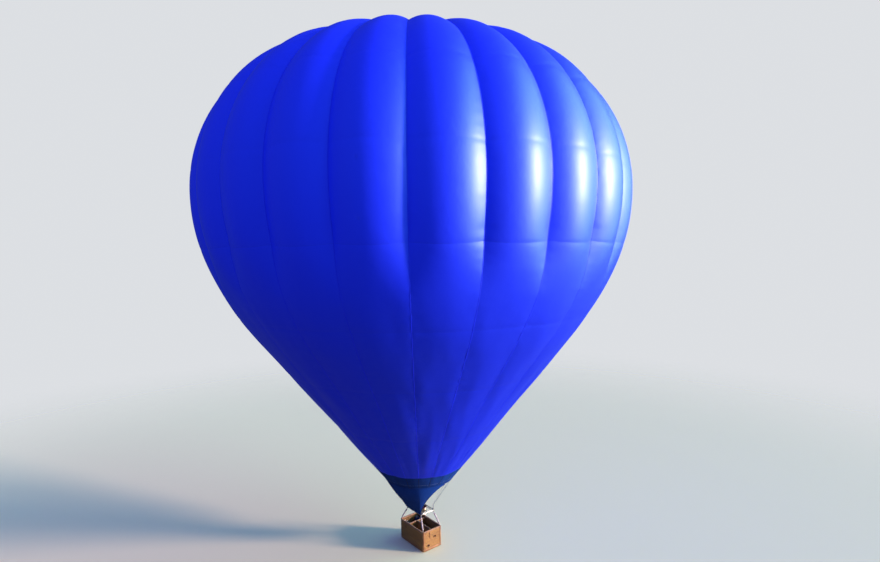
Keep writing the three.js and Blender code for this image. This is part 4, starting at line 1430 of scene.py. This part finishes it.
def rounded_block(centre, size, radius, segments=3):
    mesh = bmesh.new()
    bmesh.ops.create_cube(mesh, size=1)
    bmesh.ops.scale(mesh, vec=size, verts=mesh.verts)
    rounding = {"affect": "EDGES", "offset_type": "OFFSET", "offset": radius, "profile": 0.5}
    bmesh.ops.bevel(mesh, geom=mesh.edges[:], segments=segments, material=-1, **rounding)
    bmesh.ops.translate(mesh, vec=centre, verts=mesh.verts)
    return mesh


def bolt(at, head, size=0.008):
    profile = [(0, 0), (size, 0), (size, size * 0.55), (size * 0.86, size * 0.75), (0, size * 0.75)]
    return moved(turned(profile, 6), at, head)


cradle_parts = [rounded_block(*block) for block in CRADLE_BLOCKS]
for side in (-1, 1):
    y_axis = Vector((0, side, 0))
    cradle_parts.append(moved(pin(0.038, 0.002), UP * FRAME_Z + y_axis * 0.293, y_axis))
    for x in (-0.395, -0.105, 0.105, 0.395):
        cradle_parts.append(bolt(Vector((x, side * 0.042, PLATE_TOP - 0.0155)), -UP))
cradle = merged(cradle_parts)
piece("cradle_steel", cradle, frame_steel, "burner_steel", "burner_cradle", body="burner")

valve_brass = Finish("valve_brass")
tarnish = valve_brass.noise(18.0, 4.0, 0.6)
valve_brass.set(
    base_color=valve_brass.mix(tarnish.step(0.35, 0.75), BRASS_COLOUR, BRASS_TARNISH),
    metallic=1.0,
    roughness=0.25 + tarnish * 0.25,
    normal=valve_brass.bump(valve_brass.noise(500.0), 0.0002, 0.4),
)
lever_grip, dents = mottled("lever_grip", 120.0, 3.0, GRIP_COLOUR, GRIP_SHADE, 0.0005, 0.4)
lever_grip.set(roughness=0.42 + dents * 0.15)


def can_shell(foot):
    """A can with swaged ribs, a rolled lip and a ring of air slots near its foot."""

    def can_point(turn, row):
        height, out = CAN_LEVELS[row]
        return foot + around(turn)[0] * (CAN_RADIUS + out) + UP * height

    turns = spread(0, TURN, CAN_VENTS * 4)
    can = grid_of(turns, range(len(CAN_LEVELS)), can_point)
    vents = []
    for face in can.faces:
        at = face.calc_center_median() - foot
        slot = math.atan2(at.y, at.x) / TURN * CAN_VENTS % 1
        if VENT_HEIGHTS[0] < at.z < VENT_HEIGHTS[1] and slot > 0.5:
            vents.append(face)
    bmesh.ops.delete(can, geom=vents, context="FACES")
    return joined(can)


def coil_parts(foot):
    """The coil winds up outside and down again inside, to the manifold with its jets."""

    def wound(low, high, steps, inner):
        path = []
        for turn in spread(0, COIL_TURNS * TURN, steps):
            radius = COIL_RADIUS - inner * smooth(turn, 0, 1.6)
            height = low + (high - low) * turn / (COIL_TURNS * TURN)
            path.append(foot + around(turn)[0] * radius + UP * height)
        return path

    path = wound(COIL_FOOT, COIL_TOP, 132, 0) + wound(COIL_TOP, COIL_END, 120, COIL_INNER)[1:]
    parts = [tube(path, COIL_TUBE, 10), moved(turned(MANIFOLD, 36), foot)]
    for angle in full_turn(JETS):
        out = around(angle)[0]
        parts.append(moved(turned(JET, 10), foot + out * 0.042 + UP * 0.050, (out * 0.45 + UP).normalized()))
    parts.append(tube([foot + Vector((x, 0, z)) for x, z in FEED], COIL_TUBE, 10))
    return parts


def valve_parts(top):
    """A brass block with a union nut at each end and a screwed cover plate in front."""
    front = Vector((0, -1, 0))
    parts = [rounded_block(top - UP * 0.045, (0.088, 0.068, 0.089), 0.007)]
    parts.append(rounded_block(top + Vector((0, 0.060, -0.060)), (0.022, 0.088, 0.022), 0.005))
    for x in (-1, 1):
        parts.append(moved(turned(NUT, 6), top + Vector((x * 0.043, 0, -0.060)), Vector((x, 0, 0))))
    parts.append(moved(turned(CAP, 24), top + Vector((0, -0.033, -0.045)), front))
    for x in (-1, 1):
        for z in (-0.015, -0.075):
            parts.append(bolt(top + Vector((x * 0.034, -0.0335, z)), front, 0.005))
    return parts


for side, sign in (("left", -1), ("right", 1)):
    foot = Vector((sign * CAN_SPREAD, 0, PLATE_TOP))
    top = Vector((sign * CAN_SPREAD, 0, PLATE_UNDER))
    node = f"burner_can_{side}"
    can = piece(f"can_{side}", can_shell(foot), heated_steel, "burner_steel", node, body="burner")
    thicken(can, CAN_SHEET)
    node, coil = f"burner_coil_{side}", merged(coil_parts(foot))
    piece(f"coil_{side}", coil, heated_steel, "burner_steel", node, body="burner")
    node, block = f"burner_valve_{side}", merged(valve_parts(top))
    piece(f"valve_body_{side}", block, valve_brass, "valve_brass", node, body="burner")
    grip = rounded_block(top + Vector((0, 0.100, -0.110)), (0.025, 0.0155, 0.119), 0.006)
    piece(f"valve_lever_{side}", grip, lever_grip, "valve_brass", node, body="burner")


# Uprights. Four nylon rods flex up from the rim's corners to the frame's sockets. Each wears a
# padded suede sleeve, laced along its seam and strapped in three places.
ROD_RADIUS = 0.0155
ROD_INSET = 0.05
ROD_FOOT_Z = -17.4428
ROD_HEAD_Z = -16.7779
PAD_RADIUS = 0.037
PAD_BORE = ROD_RADIUS + 0.0015
PAD_FOOT = 0.105
PAD_REACH = 0.79
PAD_SHARES = [0, 0.008, 0.018, 0.03] + spread(0.045, 0.955, 62) + [0.97, 0.982, 0.992, 1]
PAD_CLOSING = 0.035
PAD_SEAM = 0.0025
PAD_CREASES = 0.003
PAD_STRAPS = (0.12, 0.5, 0.88)
PAD_STRAP_SINK = 0.0055
PAD_STRAP_RADIUS = 0.0333
PAD_STRAP_WIDTH = 0.022
PAD_STRAP_THICKNESS = 0.003
LACING_STEPS = 48
LACING_SPREAD = 0.22
LACING_RADIUS = 0.0015
SUEDE = (0.60, 0.51, 0.46)
SUEDE_DARK = (0.34, 0.27, 0.24)
NYLON = (0.62, 0.60, 0.55)
NYLON_SHADE = (0.46, 0.44, 0.40)

suede = Finish("sleeve_suede")
nap = suede.noise(180.0, 4.0, 0.7)
rubbed = suede.noise(12.0, 4.0, 0.6)
suede.set(
    base_color=suede.mix(rubbed.step(0.35, 0.8) * 0.6 + nap.step(0.35, 0.7) * 0.35, SUEDE, SUEDE_DARK),
    roughness=0.95,
    normal=suede.bump(nap, 0.0022, 0.9, suede.bump(rubbed, 0.012, 0.5)),
    specular_ior_level=0.12,
    sheen_weight=0.25,
    sheen_roughness=0.6,
)
nylon, rod_marks = mottled("nylon_rod", 45.0, 3.0, NYLON, NYLON_SHADE, 0.0005, 0.3)
nylon.set(roughness=0.42 + rod_marks * 0.15)


def sleeve_radius(turn, share, seed):
    """A sleeve draws in at its ends and under its straps, and stands out along its seam."""
    ends = smooth(share, 0, PAD_CLOSING) * smooth(1 - share, 0, PAD_CLOSING)
    strapped = sum(math.exp(-((share - place) / 0.022) ** 2) for place in PAD_STRAPS)
    seam = math.exp(-(((turn / math.pi) % 2 - 1) / 0.05) ** 2)
    creases = noise_round(turn, 1.4, share * 9 + seed)
    padding = PAD_RADIUS - PAD_BORE - PAD_STRAP_SINK * min(1, strapped)
    return PAD_BORE + (padding + PAD_SEAM * seam + PAD_CREASES * creases) * ends


def upright(corner, foot, head):
    node = f"upright_{corner}"
    line = head - foot
    ahead = line.normalized()
    u = ahead.orthogonal().normalized()
    v = ahead.cross(u)

    def round_rod(turn, share, radius):
        centre = foot + line * (PAD_FOOT + PAD_REACH * share)
        return centre + (u * math.cos(turn) + v * math.sin(turn)) * radius

    def sleeve_point(turn, share, lift=0.0):
        return round_rod(turn, share, sleeve_radius(turn, share, len(corner)) + lift)

    rod = tube([foot.lerp(head, t) for t in spread(0, 1, 6)], ROD_RADIUS, 16)
    piece(f"rod_{corner}", rod, nylon, "upright_pad", node)
    pad = joined(grid_of(spread(0, TURN, 28), PAD_SHARES, sleeve_point), fill=True)
    piece(f"pad_{corner}", pad, suede, "upright_pad", node)
    straps = []
    for share in PAD_STRAPS:
        ring = [round_rod(turn, share, PAD_STRAP_RADIUS) for turn in spread(0, TURN, 32)]
        straps.append(ribbon(ring, ahead, PAD_STRAP_WIDTH))
    thicken(piece(f"straps_{corner}", merged(straps), hide, "upright_pad", node), PAD_STRAP_THICKNESS)
    lacing = []
    for k, share in enumerate(spread(0.06, 0.94, LACING_STEPS)):
        turn = math.pi + (LACING_SPREAD if k % 2 else -LACING_SPREAD)
        lacing.append(sleeve_point(turn, share, 0.001))
    piece(f"lacing_{corner}", tube(lacing, LACING_RADIUS, 6), waxed_thread, "upright_pad", node)


for corner, sx, sy in CORNERS:
    foot = Vector((sx * (WALL_HALF_X - ROD_INSET), sy * (WALL_HALF_Y - ROD_INSET), ROD_FOOT_Z))
    upright(corner, foot, Vector((sx * LUG_X, sy * LUG_Y, ROD_HEAD_Z)))


# Grab straps. A folded leather strap is laced through the wall at each end as a handle, and one
# on each side near the pilot's bay.
STRAP_WIDTH = 0.032
STRAP_RISE = 0.03
STRAP_HALF_LENGTH = 0.12
STRAP_THICKNESS = 0.004
PATCH_WIDER = 0.012
PATCH_SHIFTS = (-0.01, 0.02, 0.045)
GRAB_STRAPS = (
    (Vector((WALL_HALF_X, -0.17, FLOOR_Z + 0.79)), Vector((1, 0, 0))),
    (Vector((-WALL_HALF_X, 0.17, FLOOR_Z + 0.79)), Vector((-1, 0, 0))),
    (Vector((-0.52, -WALL_HALF_Y, FLOOR_Z + 0.80)), Vector((0, -1, 0))),
    (Vector((-0.52, WALL_HALF_Y, FLOOR_Z + 0.80)), Vector((0, 1, 0))),
)

grab_straps = []
for middle, out in GRAB_STRAPS:
    path = []
    for share in spread(-1, 1, 24):
        rise = STRAP_RISE * (1 - abs(share) ** 3.0) ** 0.8 + 0.001
        path.append(middle + UP * share * STRAP_HALF_LENGTH + out * rise)
    grab_straps.append(ribbon(path, sideways(out), STRAP_WIDTH))
    for end in (-1, 1):
        patch = [middle + UP * end * (STRAP_HALF_LENGTH + shift) + out * 0.0015 for shift in PATCH_SHIFTS]
        grab_straps.append(ribbon(patch, sideways(out), STRAP_WIDTH + PATCH_WIDER))
thicken(piece("grab_straps", merged(grab_straps), hide, "hide"), STRAP_THICKNESS)


# Partition. A woven wall across the basket and another along the middle make a bay for the pilot
# and two for passengers. Padded hide rolls are laced along their tops.
PARTITION_X = -0.33
PARTITION_HALF = 0.0155
PARTITION_HALF_WIDTH = 0.5712
PARTITION_FOOT = -18.4847
PARTITION_TOP = -17.56
PARTITION_ROWS = 46
PARTITION_WAVE = 0.0032
LONG_START = PARTITION_X + 0.0175
LONG_END = 0.994
LONG_HALF = (LONG_END - LONG_START) / 2
PARTITION_ROLL_Z = -17.5297
CROSS_ROLL = (1.0928, 17)
LONG_ROLL = (1.2814, 20)
CROSS_SLAB = (PARTITION_X, PARTITION_HALF, PARTITION_HALF_WIDTH)
LONG_SLAB = (LONG_START + LONG_HALF, LONG_HALF, PARTITION_HALF)


def woven_slab(centre_x, half_x, half_y):
    corner = PARTITION_HALF * 0.98
    length = way_round(half_x, half_y, corner)
    stakes = 2 * round(length / STAKE_PITCH / 2)
    rise = (PARTITION_TOP - PARTITION_FOOT) / PARTITION_ROWS

    def place(along, row):
        point, out = oblong_at(min(along / stakes, 0.999999) * length, half_x, half_y, corner)
        relief = weave_relief_at(along, row) * PARTITION_WAVE / CANE_SWING - 0.001
        return point + out * relief + Vector((centre_x, 0, PARTITION_FOOT + row * rise))

    def size(along, row):
        return along * STAKE_PITCH, row * CANE_PITCH

    rows = spread(0, PARTITION_ROWS, PARTITION_ROWS * 2)
    return joined(grid_of(spread(0, stakes, stakes * 4), rows, place, size), 1e-4)


def cross_at(distance):
    return Vector((PARTITION_X, distance - CROSS_ROLL[0] / 2, PARTITION_ROLL_Z)), Vector((1, 0, 0))


def long_at(distance):
    return Vector((PARTITION_X + 0.02 + distance, 0, PARTITION_ROLL_Z)), Vector((0, 1, 0))


slabs = [woven_slab(*CROSS_SLAB), woven_slab(*LONG_SLAB)]
piece("woven_partition", merged(slabs), cane, "wicker", "partition")
partition_section = oval(0.034, 0.0295, 20, RIM_ROUNDING)
rolls, thongs = [], []
for path_at, (length, laces) in ((cross_at, CROSS_ROLL), (long_at, LONG_ROLL)):
    rolls.append(laced_roll(path_at, length, laces, partition_section, fill=True))
    thongs.append(lace_loops(path_at, length, laces, partition_section))
partition_roll = piece("partition_roll", merged(rolls), hide, "hide", "partition_rim")
thicken(piece("partition_thong", merged(thongs), waxed_thread, "hide", "partition_rim"), THONG_THICKNESS)


# Floor and runners. The floor is marine plywood, varnished and scuffed, and rests on three ash
# runners with rounded, worn edges.
RUNNER_Y = (-0.43, 0, 0.43)
RUNNER_SIZE = (1.7, 0.0695, 0.0398)
RUNNER_Z = -18.5303
PLY_LIGHT = (0.42, 0.25, 0.11)
PLY_DARK = (0.25, 0.13, 0.05)
PLY_TRODDEN = (0.33, 0.26, 0.18)

timber = Finish("varnished_timber")
east, north, up = timber.axes(timber.place())
bend = timber.noise(2.0, 2.0, at=timber.vector(east * 0.4, north * 1.5, up * 1.5))
rings = timber.noise(1.0, 4.0, 0.6, timber.vector(east * 1.1, north * 26.0 + bend * 5.0, up * 26.0))
fibres = timber.noise(1.0, 2.0, at=timber.vector(east * 8.0, north * 260.0, up * 260.0))
treads = timber.noise(5.0, 5.0, 0.65).step(0.5, 0.68)
wood = timber.mix(rings * 0.75 + fibres * 0.25, PLY_LIGHT, PLY_DARK)
timber.set(
    base_color=timber.mix(treads * 0.5, wood, PLY_TRODDEN),
    roughness=0.42 + treads * 0.3 + fibres * 0.08,
    normal=timber.bump(fibres * 0.6 + rings * 0.4, 0.0006, 0.5),
    coat_weight=(1 - treads) * 0.25,
    coat_roughness=0.2,
)
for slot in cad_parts["basket_floor"].material_slots:
    slot.material = timber.material
for name, y in zip(("left", "middle", "right"), RUNNER_Y):
    beam = rounded_block((0, y, RUNNER_Z), RUNNER_SIZE, 0.009, 4)
    piece(f"ash_{name}", beam, timber, "timber", f"runner_{name}")


# Fuel cylinders. Four upright cylinders stand in the pilot's bay, each in a padded quilted
# jacket with two belts round it, a steel collar and a brass valve with a contents gauge.
BAY_X = -0.663
CYLINDER_OFFSET = 0.158
CYLINDER_Y = 0.3717
CYLINDER_FOOT = -18.4847
JACKET_PANELS = 12
JACKET_FOOT = [(0.118, 0.0), (0.130, 0.004), (0.140, 0.014), (0.1445, 0.03)]
JACKET_SIDE = [(0.1445, height) for height in spread(0.05, 0.75, 40)]
JACKET_HEAD = [(0.143, 0.77), (0.137, 0.795), (0.126, 0.818), (0.110, 0.838), (0.098, 0.848), (0.088, 0.852)]
JACKET = JACKET_FOOT + JACKET_SIDE + JACKET_HEAD
JACKET_RADIUS = 0.143
JACKET_THREAD = 0.0022
JACKET_SAG = 0.0016
QUILT_DEPTH = 0.0055
QUILT_LINE_PITCH = 0.18
QUILT_LINE_DEPTH = 0.003
BELT_HEIGHTS = (0.22, 0.58)
BELT_SINK = 0.006
BELT_RADIUS = 0.1395
BELT_WIDTH = 0.038
BELT_THICKNESS = 0.003
COLLAR = [
    (0.086, 0.852), (0.0885, 0.853), (0.0885, 0.874), (0.0895, 0.876), (0.0885, 0.8795), (0.085, 0.8785),
    (0.0845, 0.853), (0.086, 0.852),
]
DOME = [(0, 0.862), (0.03, 0.861), (0.055, 0.857), (0.078, 0.850), (0.084, 0.846)]
STEM_AT = Vector((0.03, 0, 0))
STEM = [(0, 0.858), (0.013, 0.858), (0.013, 0.866), (0.010, 0.868), (0.010, 0.874), (0, 0.874)]
WHEEL_HEIGHT = 0.8745
WHEEL_RADIUS = 0.017
WHEEL_SCALLOP = 0.0012
GAUGE_AT = Vector((-0.035, 0, 0))
GAUGE_CASE = [
    (0, 0.861), (0.021, 0.861), (0.022, 0.863), (0.022, 0.8725), (0.0195, 0.874), (0.0185, 0.8715),
    (0, 0.8715),
]
GAUGE_FACE = [(0, 0.8718), (0.0184, 0.8718), (0.0184, 0.8722), (0, 0.8726)]
NAVY = (0.012, 0.018, 0.055)
NAVY_WORN = (0.035, 0.045, 0.10)
DIAL_WHITE = (0.75, 0.75, 0.72)
DIAL_GREY = (0.60, 0.60, 0.57)

jacket = Finish("quilted_jacket")
weft, warp = jacket.threads(JACKET_THREAD, 0.25, 0.45)
worn = jacket.noise(7.0, 4.0, 0.6)
jacket.set(
    base_color=jacket.mix(worn.step(0.3, 0.8), NAVY, NAVY_WORN),
    roughness=0.8 + worn * 0.1,
    normal=jacket.bump(weft + warp, 0.0005, 0.6),
    specular_ior_level=0.25,
    sheen_weight=0.2,
    sheen_roughness=0.5,
)
dial = Finish("gauge_dial")
dial.set(
    base_color=dial.mix(dial.noise(60.0), DIAL_WHITE, DIAL_GREY),
    roughness=0.25,
    coat_weight=0.6,
    coat_roughness=0.05,
)


def jacket_mesh(foot):
    """The quilted cover, drawn in along its seams and under its belts."""

    def place(turn, row):
        radius, height = JACKET[row]
        seam = abs((turn / TURN * JACKET_PANELS) % 1 - 0.5) * 2
        from_line = height % QUILT_LINE_PITCH - QUILT_LINE_PITCH / 2
        radius -= QUILT_DEPTH * seam**4 + QUILT_LINE_DEPTH * math.exp(-(from_line / 0.012) ** 2)
        radius -= BELT_SINK * max(math.exp(-((height - at) / 0.022) ** 2) for at in BELT_HEIGHTS)
        radius += JACKET_SAG * noise_round(turn, 2, height * 7 + foot.x * 9)
        return foot + around(turn)[0] * radius + UP * height

    def size(turn, row):
        return turn * JACKET_RADIUS, JACKET[row][1]

    cover = grid_of(spread(0, TURN, JACKET_PANELS * 8), range(len(JACKET)), place, size)
    return joined(cover, fill=True)


def cylinder_fittings(foot):
    """The valve's stem and scalloped hand wheel with three spokes, and the gauge's case."""
    hub = foot + STEM_AT + UP * WHEEL_HEIGHT
    wheel = []
    for turn in full_turn(48):
        wheel.append(hub + around(turn)[0] * (WHEEL_RADIUS + WHEEL_SCALLOP * math.cos(8 * turn)))
    parts = [moved(turned(STEM, 24), foot + STEM_AT), tube(wheel, 0.0035, 8, closed=True)]
    for angle in full_turn(3):
        parts.append(tube([hub, hub + around(angle)[0] * 0.016], 0.0022, 6))
    parts.append(moved(turned(GAUGE_CASE), foot + GAUGE_AT))
    return parts


for corner, sx, sy in CORNERS:
    foot = Vector((BAY_X + sx * CYLINDER_OFFSET, sy * CYLINDER_Y, CYLINDER_FOOT))
    node = f"fuel_cylinder_{corner}"
    jacket_piece = piece(f"jacket_{corner}", jacket_mesh(foot), jacket, "cylinder_jacket", node)
    belts = []
    for height in BELT_HEIGHTS:
        ring = [foot + around(turn)[0] * BELT_RADIUS + UP * height for turn in spread(0, TURN, 64)]
        belts.append(ribbon(ring, UP, BELT_WIDTH))
    belts = piece(f"belts_{corner}", merged(belts), dark_webbing, "cylinder_jacket", node)
    thicken(belts, BELT_THICKNESS)
    collar = merged([moved(turned(profile, 48), foot) for profile in (COLLAR, DOME)])
    piece(f"collar_{corner}", collar, rigging_steel, "cylinder_jacket", node)
    piece(f"valve_{corner}", merged(cylinder_fittings(foot)), valve_brass, "cylinder_jacket", node)
    gauge = moved(turned(GAUGE_FACE), foot + GAUGE_AT)
    piece(f"gauge_{corner}", gauge, dial, "cylinder_jacket", node)
